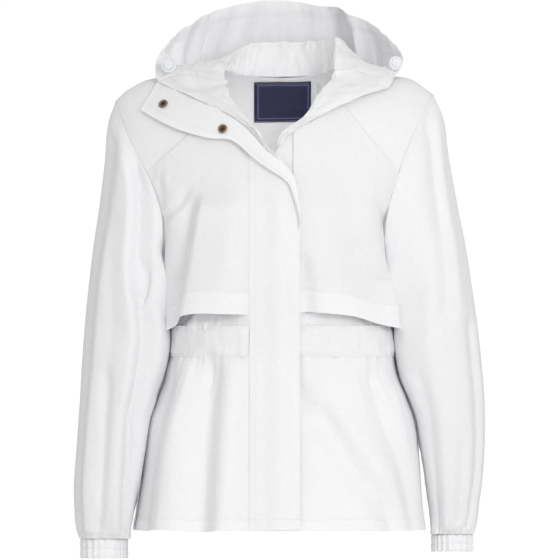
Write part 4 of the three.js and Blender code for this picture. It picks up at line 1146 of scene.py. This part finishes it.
def make_facing(flat):
    along = 10 * spread(330, (False, True), 3.0)
    up = FACING_UNDER * spread(46, cell=3.0)
    a, b = np.meshgrid(along, up)
    grid = facing_point(a, b)
    normal = -grid_normals(grid)
    u, v = cloth_lengths(grid)
    uu, vv = np.meshgrid(u, v)
    rolled = 0.6 * bump(vv - 1.5, 2.0) + 0.5 * bump(u[-1] - uu - 1.5, 2.0)
    field = crumple(uu, vv * 1.4, 91, 0.9) + rolled - 0.35 * bump(vv - 6, 1.2)
    grid = grid + normal * field[..., None]
    piece = shell("placket_facing", grid, -1, EDGING, ("placket_facing",), DOUBLE, lining=SHELL, flat=flat)
    row = int(np.abs(v - 6).argmin())
    stitch_row(grid, normal, row, slice(6, -4))
    return piece


# Collar and hood, one loft whose rows run round the neck
def smooth_path(points, places):
    """Points on a smooth line through points of shape (knots, ..., 3), at places counted in knots."""
    last = len(points) - 1
    places = np.clip(places, 0, last)
    i = np.minimum(places.astype(int), last - 1)
    t = (places - i).reshape((-1,) + (1,) * (points.ndim - 1))
    padded = np.concatenate([2 * points[:1] - points[1:2], points, 2 * points[-1:] - points[-2:-1]])
    p0, p1, p2, p3 = (padded[i + k] for k in range(4))

    def gap(a, b):
        return np.maximum(np.linalg.norm(b - a, axis=-1, keepdims=True) ** 0.5, 1e-4)

    d0, d1, d2 = gap(p0, p1), gap(p1, p2), gap(p2, p3)
    leave = ((p1 - p0) / d0 - (p2 - p0) / (d0 + d1) + (p2 - p1) / d1) * d1
    arrive = ((p2 - p1) / d1 - (p3 - p1) / (d1 + d2) + (p3 - p2) / d2) * d1
    square, cube = 2 * p1 - 2 * p2 + leave + arrive, -3 * p1 + 3 * p2 - 2 * leave - arrive
    return p1 + leave * t + cube * t**2 + square * t**3


def collar_knots(row):
    neck_x, neck_z, roll_x, roll_z, roll_lift, edge_x, edge_z, edge_lift = row
    share = np.linspace(0, 1, 5)
    lift = lerp(roll_lift, edge_lift, share)
    slope = over_front(lerp(roll_x, edge_x, share), lerp(roll_z, edge_z, share), lift)
    return np.concatenate([over_front(neck_x, neck_z, 3.5)[None], slope])


NECK_KNOTS = np.stack(
    [collar_knots(row) for row in COLLAR_RIGHT]
    + [np.array(row, dtype=float) for row in HOOD]
    + [collar_knots(row) for row in COLLAR_LEFT]
)
FIRST_HOOD = len(COLLAR_RIGHT)
LAST_HOOD = FIRST_HOOD + len(HOOD) - 1


def neck_grid(start, end, cell=3.6):
    rough = smooth_path(NECK_KNOTS[:, 5], np.linspace(start, end, 80))
    length = np.linalg.norm(np.diff(rough, axis=0), axis=-1).sum()
    places = lerp(start, end, spread(length, cell=cell))
    knots = smooth_path(NECK_KNOTS, places).transpose(1, 0, 2)
    rough = smooth_path(knots, np.linspace(0, 5, 60))
    longest = np.linalg.norm(np.diff(rough, axis=0), axis=-1).sum(axis=0).max()
    stretch = spread(longest, cell=cell)
    return places, stretch, smooth_path(knots, stretch * 5)


def rim_distance(grid):
    up = np.linalg.norm(np.diff(grid, axis=0), axis=-1)
    return np.concatenate([np.cumsum(up[::-1], axis=0)[::-1], np.zeros((1, grid.shape[1]))])


NECK_PLACES = np.linspace(0, len(NECK_KNOTS) - 1, 400)
NECK_STEPS = np.linalg.norm(np.diff(smooth_path(NECK_KNOTS[:, 3], NECK_PLACES), axis=0), axis=-1)
NECK_ARC = np.concatenate([[0], np.cumsum(NECK_STEPS)])
NECK_CRINKLES = table(
    "place depth", (0, 3.0), (6.4, 3.2), (7.4, 4.4), (10.0, 4.6), (11.6, 3.6), (17, 3.6), (22, 2.8)
)
NECK_SEED = 203


def neck_relief(places, stretch, grid):
    """Wrinkles, pleats and gathers that run on over the seams between the collar's and the hood's pieces."""
    place, up = np.meshgrid(places, stretch)
    uu, vv = np.interp(place, NECK_PLACES, NECK_ARC), 190 * up
    field = look_up(NECK_CRINKLES, "depth", place) * crumple(uu, vv, NECK_SEED, 1.0, 0.55)
    for at, start, end, lean, width, depth in HOOD_PLEATS:
        middle = at + lean * (up - start)
        ends = smooth_step((up - start) / 0.14) * smooth_step((end - up) / 0.1)
        field += depth * ends * bump(place - middle, width)
    hood = smooth_step((place - 9.6) / 0.8) * smooth_step((17.6 - place) / 0.8)
    band = smooth_step((0.19 - up) / 0.03)
    arc = uu * 0.62
    gathered = 0.9 * gathers(arc, 17.0, NECK_SEED + 3) + 2.0 * noise(arc / 13, vv / 14, NECK_SEED + 6)
    field += hood * band * gathered
    field -= hood * 0.8 * (bump(up - 0.035, 0.012) + bump(up - 0.165, 0.012))
    far = rim_distance(grid)
    field += 0.8 * smooth_step((20 - far) / 3) - 0.6 * bump(far - 20, 2.4)
    field += 0.9 * hood * bump(far - 14, 14) * gathers(uu, 15.0, NECK_SEED + 8)
    return field


def make_neck_piece(name, start, end, flat, sewn=(3, 3, 3, 0)):
    places, stretch, grid = neck_grid(start, end)
    normal = grid_normals(grid)
    field = neck_relief(places, stretch, grid)
    field = field + seam_dips(len(places), len(stretch), sewn, 0.8)
    grid = grid + normal * field[..., None]
    material = LINING if name.startswith("hood") else EDGING
    piece = shell(name, grid, 1, material, (name,), 0.9, lining=SHELL, flat=flat)
    far = rim_distance(grid).mean(axis=1)
    if far[0] > 40:
        stitch_row(grid, normal, int(np.abs(far - 20).argmin()), slice(3, -3))
    return piece


# Sleeves and cuffs
def armhole_loop(sign, count):
    rows = ARMHOLE[sign]
    tip = rows["key"][-1]
    k = np.linspace(0, math.pi, 80)
    z = lerp(tip, UNDERARM_Z, (1 - np.cos(k)) / 2)
    halves = []
    for side in (1, -1):
        x = sign * look_up(rows, "front" if side > 0 else "back", z)
        points = torso_point(side, *address_of(side, x, np.minimum(z, shoulder_height(x))))
        points[0] = (sign * rows["front"][-1], 0, tip)
        points[-1] = (sign * rows["front"][0], 0, UNDERARM_Z)
        length = np.concatenate([[0], np.cumsum(np.linalg.norm(np.diff(points, axis=0), axis=-1))])
        even = np.linspace(0, length[-1], count // 2 + 1)
        halves.append(np.stack([np.interp(even, length, points[:, k]) for k in range(3)], axis=-1))
    return np.concatenate([halves[0], halves[1][::-1][1:-1]])


def tilted_ring(sign, value, turn):
    inner_x = half_width(value["inner_z"], sign) + SLEEVE_CLEAR + value["room"]
    along = (1 + np.cos(turn)) / 2
    x = sign * lerp(inner_x, value["outer_x"], along)
    flat = 1 - 0.5 * smooth_step((0.1 - np.cos(turn)) / 0.9)
    y = value["mid_y"] - value["depth"] * np.sign(np.sin(turn)) * np.abs(np.sin(turn)) ** flat
    return np.stack([x, y, lerp(value["inner_z"], value["outer_z"], along)], axis=-1)


# How far to the front and back a sleeve lies against the torso's side, at each height
SLEEVE_LIES = {
    -1: table(
        "z front back",
        (-640, 0, 0),
        (-610, 0, 0),
        (-560, 56, 60),
        (-450, 56, 60),
        (-420, 20, 20),
        (-400, 0, 0),
        (-386, 0, 0),
        (-350, 40, 40),
        (-310, 72, 60),
        (-250, 84, 70),
    ),
    1: table(
        "z front back",
        (-640, 0, 0),
        (-525, 0, 0),
        (-490, 0, 66),
        (-360, 10, 66),
        (-315, 60, 66),
        (-250, 80, 66),
    ),
}


def clear_of_body(points, sign, degrees, along):
    """Keeps a sleeve outside the torso's panels, flaps and casings, and lays its inner side against them."""
    x, y, z = points[..., 0], points[..., 1], points[..., 2]
    front = y < 0
    power = look_up(TORSO, "power", z)
    depth = np.where(front, look_up(TORSO, "front", z), look_up(TORSO, "back", z))
    share = np.minimum(np.abs(y) / depth, 1)
    surface = half_width(z, sign) * (1 - share**power) ** (1 / power)
    armhole = ARMHOLE[sign]
    seam = np.where(front, look_up(armhole, "front", z), look_up(armhole, "back", z))
    panel_x = np.where(z < UNDERARM_Z, surface, seam)
    away = smooth_step(along * 8)
    casing = 3.0 * bump(z - (WAIST_TOP_Z + WAIST_BOTTOM_Z) / 2, 30)
    flap = np.where((z > -352) & front, 1.4 * smooth_step((-y - 8) / 24), 0)
    least = surface + SEAM + (SLEEVE_CLEAR + np.maximum(casing, flap)) * away
    near = (z <= -150) & (z >= HEM_Z) & (surface <= panel_x + 2)
    x = np.where(near & (np.abs(x) < least), sign * least, x)
    reach = np.where(front, look_up(SLEEVE_LIES[sign], "front", z), look_up(SLEEVE_LIES[sign], "back", z))
    inner = smooth_step((degrees - 84) / 26) * smooth_step((276 - degrees) / 26)
    lies = inner * smooth_step((reach - np.abs(y)) / 28) * smooth_step((UNDERARM_Z + 44 - z) / 46)
    closer = lerp(np.abs(x), least, lies)
    points[..., 0] = np.where(np.abs(x) > least, sign * closer, x)
    return points


def make_sleeve(name, sign, flat, around=116):
    loop = armhole_loop(sign, around)
    v = np.unique(np.round(np.concatenate([spread(610), 1 - np.array([4, 7, 10]) / 610]), 7))
    vv, turn = np.meshgrid(v, 2 * math.pi * np.arange(around) / around, indexing="ij")
    value = {key: look_up(SLEEVE[sign], key, vv * 13) for key in SLEEVE[sign] if key not in ("key", "row")}
    first = {key: SLEEVE[sign][key][0] + 0 * turn[0] for key in value}
    grid = tilted_ring(sign, value, turn)
    shape = loop - tilted_ring(sign, first, turn[0])
    grid = grid + shape * value["armhole"][..., None]
    middle_x = sign * (value["outer_x"] + half_width(value["inner_z"], sign)) / 2
    middle = np.stack([middle_x, value["mid_y"], grid[..., 2]], -1)
    outward = unit(grid - middle)
    degrees = np.degrees(turn)
    creases = [turned(crease) for crease in SLEEVE_CREASES[sign]]
    field = CREASE_DEPTH * crease_heights(degrees, 1 - vv, creases, fade=0.05, leaning=False)
    girth = degrees / 360 * 430
    wrap = smooth_step(np.minimum(degrees, 360 - degrees) / 24)
    field += crumple(girth, vv * 610, 110 + sign, 1.1) * (0.35 + 0.65 * wrap)
    elbow = bump(vv - 0.5, 0.13) * bump(degrees - 120, 62)
    field += 2.2 * elbow * noise(vv * 16 - degrees / 70, degrees / 130, 120 + sign)
    to_cuff = (1 - vv) * 610
    field += 2.6 * np.exp(-to_cuff / 26) * gathers(girth * 20 * 13 / 430, 13.0, 130 + sign) * wrap
    field += 1.5 * np.exp(-to_cuff / 70) * gathers(girth * 9 * 30 / 430, 30.0, 140 + sign) * wrap
    field += 0.5 * np.exp(-vv * 610 / 16) * gathers(girth, 10.0, 150 + sign) * wrap
    grid = grid + outward * field[..., None]
    grid[..., 0] += sign * SEAM * (1 - smooth_step(vv * 12))
    grid = clear_of_body(grid, sign, degrees, vv)
    normal = grid_normals(grid, True) * (1 if sign > 0 else -1)
    grid = grid + normal * seam_dips(around, len(v), (0, 0, 3, 3))[..., None]
    out = -1 if sign < 0 else 1
    piece = shell(name, grid, out, SHELL, (name,), CLOTH, closed=True, lining=LINING, flat=flat)
    stitch_row(grid, normal, 5, slice(0, around // 2))
    return piece


def turned(crease):
    points, before, after, depth = crease
    return [(t, 1 - s) for t, s in points], before, after, depth


def make_cuff(name, sign, flat):
    """Elastic casing: three stitched channels, drawn in by the elastic."""
    size = CUFF[sign]
    around = CUFF_GATHERS * 10
    turn = 2 * math.pi * np.arange(around) / around
    v = np.linspace(0, 1, 25)
    height = (size["top"] - size["bottom"]) * v
    arc = turn * size["half_width"]
    pitch = 2 * math.pi * size["half_width"] / CUFF_GATHERS
    uneven = CUFF_GATHERS * turn / 2 + 0.5 * np.sin(3 * turn) + 0.4 * np.sin(5 * turn)
    ridge = 1.5 - 2.6 * np.abs(np.sin(uneven))
    uneven = 0.7 + 0.3 * np.sin(3 * turn + sign) + 0.2 * np.sin(8 * turn)
    channel = 0.8 * np.abs(np.sin(math.pi * v * 2))[:, None]
    radius = ridge * uneven * (1 - 0.25 * channel) + channel - 0.4
    radius = radius + 0.4 * noise(arc / pitch * 0.8, np.zeros(around), 170 + sign)
    radius = radius + 0.3 * noise(height[:, None] / 6, arc / 9, 171)
    x = size["x"] + sign * (size["half_width"] + radius) * np.cos(turn)
    y = size["y"] - (size["half_depth"] + radius) * np.sin(turn)
    z = (size["top"] - 0.2 - height)[:, None] + 0.5 * np.sin(CUFF_GATHERS * turn)[None] * v[:, None]
    grid = np.stack([x, y, z + 0 * x], axis=-1)
    out = -1 if sign < 0 else 1
    piece = shell(name, grid, out, SHELL, (name,), 1.9, closed=True, flat=flat, held="gathered")
    normal = grid_normals(grid, True) * (1 if sign > 0 else -1)
    for row in (1, 12, 23):
        stitch_row(grid, normal, row)
    return piece


def make_label(flat):
    """Woven neck label, bare but for a plain border, sewn flat against the inside of the back."""
    u, v = spread(LABEL_WIDTH, cell=1.6), spread(LABEL_DEPTH, cell=1.6)
    uu, vv = np.meshgrid(u, v)
    x = 5 + LABEL_WIDTH * (uu - 0.5)
    z = 1 - LABEL_DEPTH * (1 - vv) + 1.4 * (uu - 0.5)
    turn, rise = address_of(-1, x, z)
    normal = torso_normal(-1, turn, rise)
    lift = back_relief(x, z) - 2.0 + 0.25 * noise(x / 30, z / 30, 9)
    edge = np.minimum.reduce(
        [uu * LABEL_WIDTH, (1 - uu) * LABEL_WIDTH, vv * LABEL_DEPTH, (1 - vv) * LABEL_DEPTH]
    )
    lift = lift - 0.15 * bump(edge - 2.2, 0.8) + 0.4 * np.exp(-edge / 1.0)
    grid = torso_point(-1, turn, rise) + normal * lift[..., None]
    label = shell("label", grid, 1, LABEL_CLOTH, ("label",), 0.6, flat=flat, held="laid")
    label.data.materials[1] = LABEL_LINE
    cells = (len(v) - 1) * (len(u) - 1)
    border = np.zeros(len(label.data.polygons), dtype=int)
    inner = edge[:-1, :-1].ravel()
    border[:cells] = (inner > 3.4) & (inner < 5.4)
    label.data.polygons.foreach_set("material_index", border)
    stitch_row(grid, -normal, 2, slice(2, -2))
    stitch_row(grid, -normal, -3, slice(2, -2))
    return label


# Topstitching: one small thread bead for each stitch
def make_topstitching():
    ring = np.array([(0, 1), (0.9, 0.15), (0, -0.5), (-0.9, 0.15)]) * 0.24
    stations = [(-0.5, 0.45, -0.16), (-0.22, 1, 0.1), (0.22, 1, 0.1), (0.5, 0.45, -0.16)]
    bead_faces = [
        [4 * s + k, 4 * s + (k + 1) % 4, 4 * s + 4 + (k + 1) % 4, 4 * s + 4 + k]
        for s in range(3)
        for k in range(4)
    ]
    bead_faces += [[3, 2, 1, 0], [12, 13, 14, 15]]
    points, faces = [], []
    for line, normals in stitch_runs:
        steps = np.linalg.norm(np.diff(line, axis=0), axis=-1)
        length = np.concatenate([[0], np.cumsum(steps)])
        count = int(length[-1] / STITCH_PITCH)
        if count < 1:
            continue
        at = (np.arange(count) + 0.5) * STITCH_PITCH
        middle = np.stack([np.interp(at, length, line[:, k]) for k in range(3)], axis=-1)
        ahead = np.stack([np.interp(at + 0.5, length, line[:, k]) for k in range(3)], axis=-1)
        forward = unit(ahead - middle)
        out = unit(np.stack([np.interp(at, length, normals[:, k]) for k in range(3)], axis=-1))
        side = unit(np.cross(forward, out))
        for place, along, up, across in zip(middle, forward, out, side):
            start = len(points)
            for share, size, rise in stations:
                for a, b in ring:
                    centre = place + along * share * STITCH_LENGTH
                    points.append(centre + across * a * size + up * (b * size + rise + 0.06))
            faces.extend([[start + k for k in face] for face in bead_faces])
    mesh = bpy.data.meshes.new("topstitching")
    mesh.from_pydata([tuple(p / 1000) for p in points], [], faces)
    mesh.materials.append(THREAD)
    piece = bpy.data.objects.new("topstitching", mesh)
    bpy.context.collection.objects.link(piece)
    recalculate_normals(piece)
    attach(piece, "root")
    return piece


def recalculate_normals(piece):
    deselect_all()
    piece.select_set(True)
    bpy.context.view_layer.objects.active = piece
    bpy.ops.object.mode_set(mode="EDIT")
    bpy.ops.mesh.select_all(action="SELECT")
    bpy.ops.mesh.normals_make_consistent(inside=False)
    bpy.ops.object.mode_set(mode="OBJECT")


# Hard pieces
def select_faces(piece, wanted):
    """Selects in edit mode the faces whose centre and normal the test wants."""
    bpy.ops.object.mode_set(mode="EDIT")
    bpy.ops.mesh.select_all(action="DESELECT")
    bpy.ops.mesh.select_mode(type="FACE")
    bpy.ops.object.mode_set(mode="OBJECT")
    for face in piece.data.polygons:
        face.select = bool(wanted(face.center, face.normal))
    bpy.ops.object.mode_set(mode="EDIT")


def add_disc(radius, depth, sides=48):
    """A cylinder standing on the ground plane, alone in the selection."""
    deselect_all()
    bpy.ops.mesh.primitive_cylinder_add(
        vertices=sides, radius=radius, depth=depth, location=(0, 0, depth / 2)
    )
    bpy.ops.object.transform_apply(location=True, rotation=True, scale=True)
    return bpy.context.active_object


def finish_hard(piece, name, material, nodes=(), bevel=0.0003):
    piece.name = piece.data.name = name
    if bevel:
        rounded = piece.modifiers.new("rounded", "BEVEL")
        rounded.width, rounded.segments, rounded.limit_method = bevel, 3, "ANGLE"
        bpy.ops.object.modifier_apply(modifier="rounded")
    bpy.ops.object.shade_smooth_by_angle(angle=math.radians(40))
    piece.data.materials.clear()
    piece.data.materials.append(material)
    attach(piece, "root")
    if nodes:
        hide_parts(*nodes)
    return piece


def stand_on(piece, point, normal):
    """Moves a piece's mesh from the ground plane to a point, with its axis along the normal."""
    turn = Vector((0, 0, 1)).rotation_difference(Vector(normal)).to_matrix().to_4x4()
    turn.translation = Vector(point)
    piece.data.transform(turn)
    piece.data.update()


def make_snap(name, along, up):
    """Ring socket of a press stud: a rolled brass rim round a well whose near-black floor is painted shade,
    with its spring.
    """
    point = facing_point(np.array([[along]]), np.array([[up]]))[0, 0]
    near = facing_point(np.array([[along - 0.1, along + 0.1]]), np.array([[up, up]]))[0]
    high = facing_point(np.array([[along, along]]), np.array([[up - 0.1, up + 0.1]]))[0]
    normal = unit(np.cross(near[1] - near[0], high[1] - high[0]))
    normal = -normal if normal[1] > 0 else normal
    r = SNAP_RADIUS / 1000
    rim = add_disc(r, 0.0011)
    select_faces(rim, lambda centre, n: n.z > 0.9)
    bpy.ops.mesh.inset(thickness=r * 0.2, depth=0.0006)
    bpy.ops.mesh.inset(thickness=r * 0.2, depth=0)
    bpy.ops.mesh.inset(thickness=r * 0.1, depth=-0.0012)
    bpy.ops.object.mode_set(mode="OBJECT")
    finish_hard(rim, name + "_rim", BRASS, (name,), 0.00022)
    # The near-black disc in the well is painted shade inside the socket
    well = add_disc(r * 0.5, 0.0004, 32)
    select_faces(well, lambda centre, n: n.z > 0.9)
    bpy.ops.mesh.inset(thickness=r * 0.14, depth=0)
    bpy.ops.mesh.inset(thickness=r * 0.04, depth=0.0007)
    bpy.ops.object.mode_set(mode="OBJECT")
    finish_hard(well, name + "_well", SOCKET_SHADE, (), 0.0001)
    deselect_all()
    bpy.ops.mesh.primitive_torus_add(
        major_radius=r * 0.36, minor_radius=r * 0.05, major_segments=40, minor_segments=8
    )
    spring = bpy.context.active_object
    finish_hard(spring, name + "_spring", BRASS, (), 0)
    base = (point + normal * 0.5) / 1000
    stand_on(rim, base, normal)
    stand_on(well, base + normal * 0.0005, normal)
    stand_on(spring, base + normal * 0.0012, normal)


def make_cord_lock(name, centre, facing_way, radius, button_share):
    """Round cord lock: a moulded barrel with a ribbed button."""
    facing_way = np.array(facing_way) / np.linalg.norm(facing_way)
    body = add_disc(radius, 0.0072, 40)
    select_faces(body, lambda c, n: n.z > 0.9)
    bpy.ops.mesh.inset(thickness=radius * 0.14, depth=0.0009)
    bpy.ops.mesh.inset(thickness=radius * 0.12, depth=-0.0009)
    bpy.ops.object.mode_set(mode="OBJECT")
    finish_hard(body, name + "_barrel", TOGGLE, (name,), 0.0008)
    button = add_disc(radius * button_share, 0.0024, 36)
    select_faces(
        button, lambda c, n: abs(n.z) < 0.5 and int((math.atan2(c.y, c.x) / math.pi + 1) * 18) % 2 == 0
    )
    bpy.ops.mesh.inset(thickness=0.00012, depth=-0.0003, use_individual=True)
    select_faces(button, lambda c, n: n.z > 0.9)
    bpy.ops.mesh.inset(thickness=radius * 0.12, depth=0.0003)
    for share in (0.16, 0.14, 0.12):
        bpy.ops.mesh.inset(thickness=radius * share, depth=-0.00035)
        bpy.ops.mesh.inset(thickness=radius * 0.05, depth=0.00035)
    bpy.ops.object.mode_set(mode="OBJECT")
    finish_hard(button, name + "_button", TOGGLE, (), 0.00015)
    base = np.array(centre) / 1000 - facing_way * 0.0042
    stand_on(body, base, facing_way)
    stand_on(button, base + facing_way * 0.0070, facing_way)
    return body, button


# Floor, light and camera
def make_stage():
    deselect_all()
    bpy.ops.mesh.primitive_plane_add(size=9, location=(0, 0, -1.4))
    floor = bpy.context.active_object
    floor.name = "floor"
    bpy.ops.object.transform_apply(location=True, rotation=True, scale=True)
    material, tree, shader = new_material("pale_floor")
    place = add_node(tree, "ShaderNodeTexCoord").outputs["Object"]
    cloud = place_group(tree, CRINKLE, place, Size=0.8, Sharp=0.1)
    shade = map_range(tree, cloud.outputs["Shade"], 0, 1)
    colour = mix_colours(tree, shade, (0.90, 0.90, 0.90), (0.87, 0.87, 0.87))
    tree.links.new(colour, shader.inputs["Base Color"])
    shader.inputs["Roughness"].default_value = 0.9
    floor.data.materials.append(material)
    world = bpy.data.worlds.new("studio")
    bpy.context.scene.world = world
    world.use_nodes = True
    tree = world.node_tree
    seen = tree.nodes["Background"]
    seen.inputs["Color"].default_value = (1, 1, 1, 1)
    seen.inputs["Strength"].default_value = 1.04
    soft = add_node(tree, "ShaderNodeBackground")
    soft.inputs["Color"].default_value = (1, 1, 1, 1)
    soft.inputs["Strength"].default_value = AMBIENT
    path = add_node(tree, "ShaderNodeLightPath")
    mix = add_node(tree, "ShaderNodeMixShader")
    tree.links.new(path.outputs["Is Camera Ray"], mix.inputs[0])
    tree.links.new(soft.outputs[0], mix.inputs[1])
    tree.links.new(seen.outputs[0], mix.inputs[2])
    tree.links.new(mix.outputs[0], tree.nodes["World Output"].inputs["Surface"])


AMBIENT = 0.66


def add_light(name, place, target, size, power):
    light = bpy.data.lights.new(name, "AREA")
    light.shape, light.size, light.energy = "SQUARE", size, power
    lamp = bpy.data.objects.new(name, light)
    bpy.context.collection.objects.link(lamp)
    lamp.location = place
    lamp.rotation_euler = (Vector(target) - Vector(place)).to_track_quat("-Z", "Y").to_euler()


CAMERA_DISTANCE = 30.0
FRAME_WIDTH = 0.784
FRAME_CENTRE = (0.0014, -0.2772)
SENSOR = 36.0


def make_camera():
    camera = bpy.data.cameras.new("front_camera")
    camera.sensor_width = SENSOR
    camera.lens = SENSOR * CAMERA_DISTANCE / FRAME_WIDTH
    camera.clip_end = 60
    holder = bpy.data.objects.new("front_camera", camera)
    bpy.context.collection.objects.link(holder)
    holder.location = (FRAME_CENTRE[0], -CAMERA_DISTANCE, FRAME_CENTRE[1])
    holder.rotation_euler = (math.pi / 2, 0, 0)
    bpy.context.scene.camera = holder


def dress():
    make_back((0.56, 0.69, 0.31))
    for side_name, sign in (("right", -1), ("left", 1)):
        make_front("front_" + side_name, sign, (0.29, 0.62, 0.128))
        make_yoke("yoke_" + side_name, sign, (0.17, 0.20, 0.019))
        make_storm_flap("storm_flap_" + side_name, sign, (0.22, 0.29, 0.042))
        make_sleeve("sleeve_" + side_name, sign, (0.46, 0.61, 0.19))
        make_cuff("cuff_" + side_name, sign, (0.25, 0.027))
    right_end = float(turn_at_x(1, PLACKET_LEFT_X - 1)(WAIST_RISE))
    left_end = float(turn_at_x(1, CASING_LEFT_X)(WAIST_RISE))
    make_casing("waist_casing_right", 1, -87, right_end, 31, (0.20, 0.045))
    make_casing("waist_casing_left", 1, 87, left_end, 33, (0.23, 0.045))
    make_casing("waist_casing_back", -1, -87, 87, 35, (0.48, 0.045))
    make_placket((0.075, 0.52))
    make_facing((0.34, 0.042, 0.0095))
    seams = [FIRST_HOOD + row for row in HOOD_SEAM_ROWS]
    make_neck_piece("collar_right", 0, FIRST_HOOD - 0.004, (0.20, 0.08, 0.0072), (0, 3, 3, 0))
    make_neck_piece("hood_right", FIRST_HOOD, seams[0] - 0.001, (0.20, 0.21, 0.029), (3, 3, 3, 0))
    make_neck_piece("hood_middle", seams[0] + 0.001, seams[1] - 0.001, (0.30, 0.40, 0.085))
    make_neck_piece("hood_left", seams[1] + 0.001, LAST_HOOD - 0.002, (0.18, 0.22, 0.022), (3, 3, 3, 0))
    make_neck_piece("collar_left", LAST_HOOD + 0.002, len(NECK_KNOTS) - 1, (0.13, 0.08, 0.0072), (3, 0, 3, 0))
    make_label((0.081, 0.069))
    make_snap("snap_upper", 9.3, 0.5)
    make_snap("snap_lower", 6.7, 0.45)
    make_cord_lock("cord_lock_right", (-154, -30, 22.9), (-0.1, -1, 0.3), 0.011, 0.62)
    make_cord_lock("cord_lock_left", (163, -18, 26), (0.3, -1, 0.2), 0.010, 0.6)
    make_topstitching()


dress()
make_stage()
add_light("key_light", (1.7, -3.7, 0.95), (0, 0, -0.3), 1.2, 43)
add_light("front_light", (0, -4.0, -0.1), (0, 0, -0.3), 0.7, 22)
add_light("top_light", (0.3, -0.6, 3.0), (0, 0, -0.3), 1.6, 2)
add_light("inner_light", (0.0, -0.055, -0.17), (0, 0.09, -0.06), 0.06, 0.11)
make_camera()
bpy.context.scene.view_settings.view_transform = "Standard"
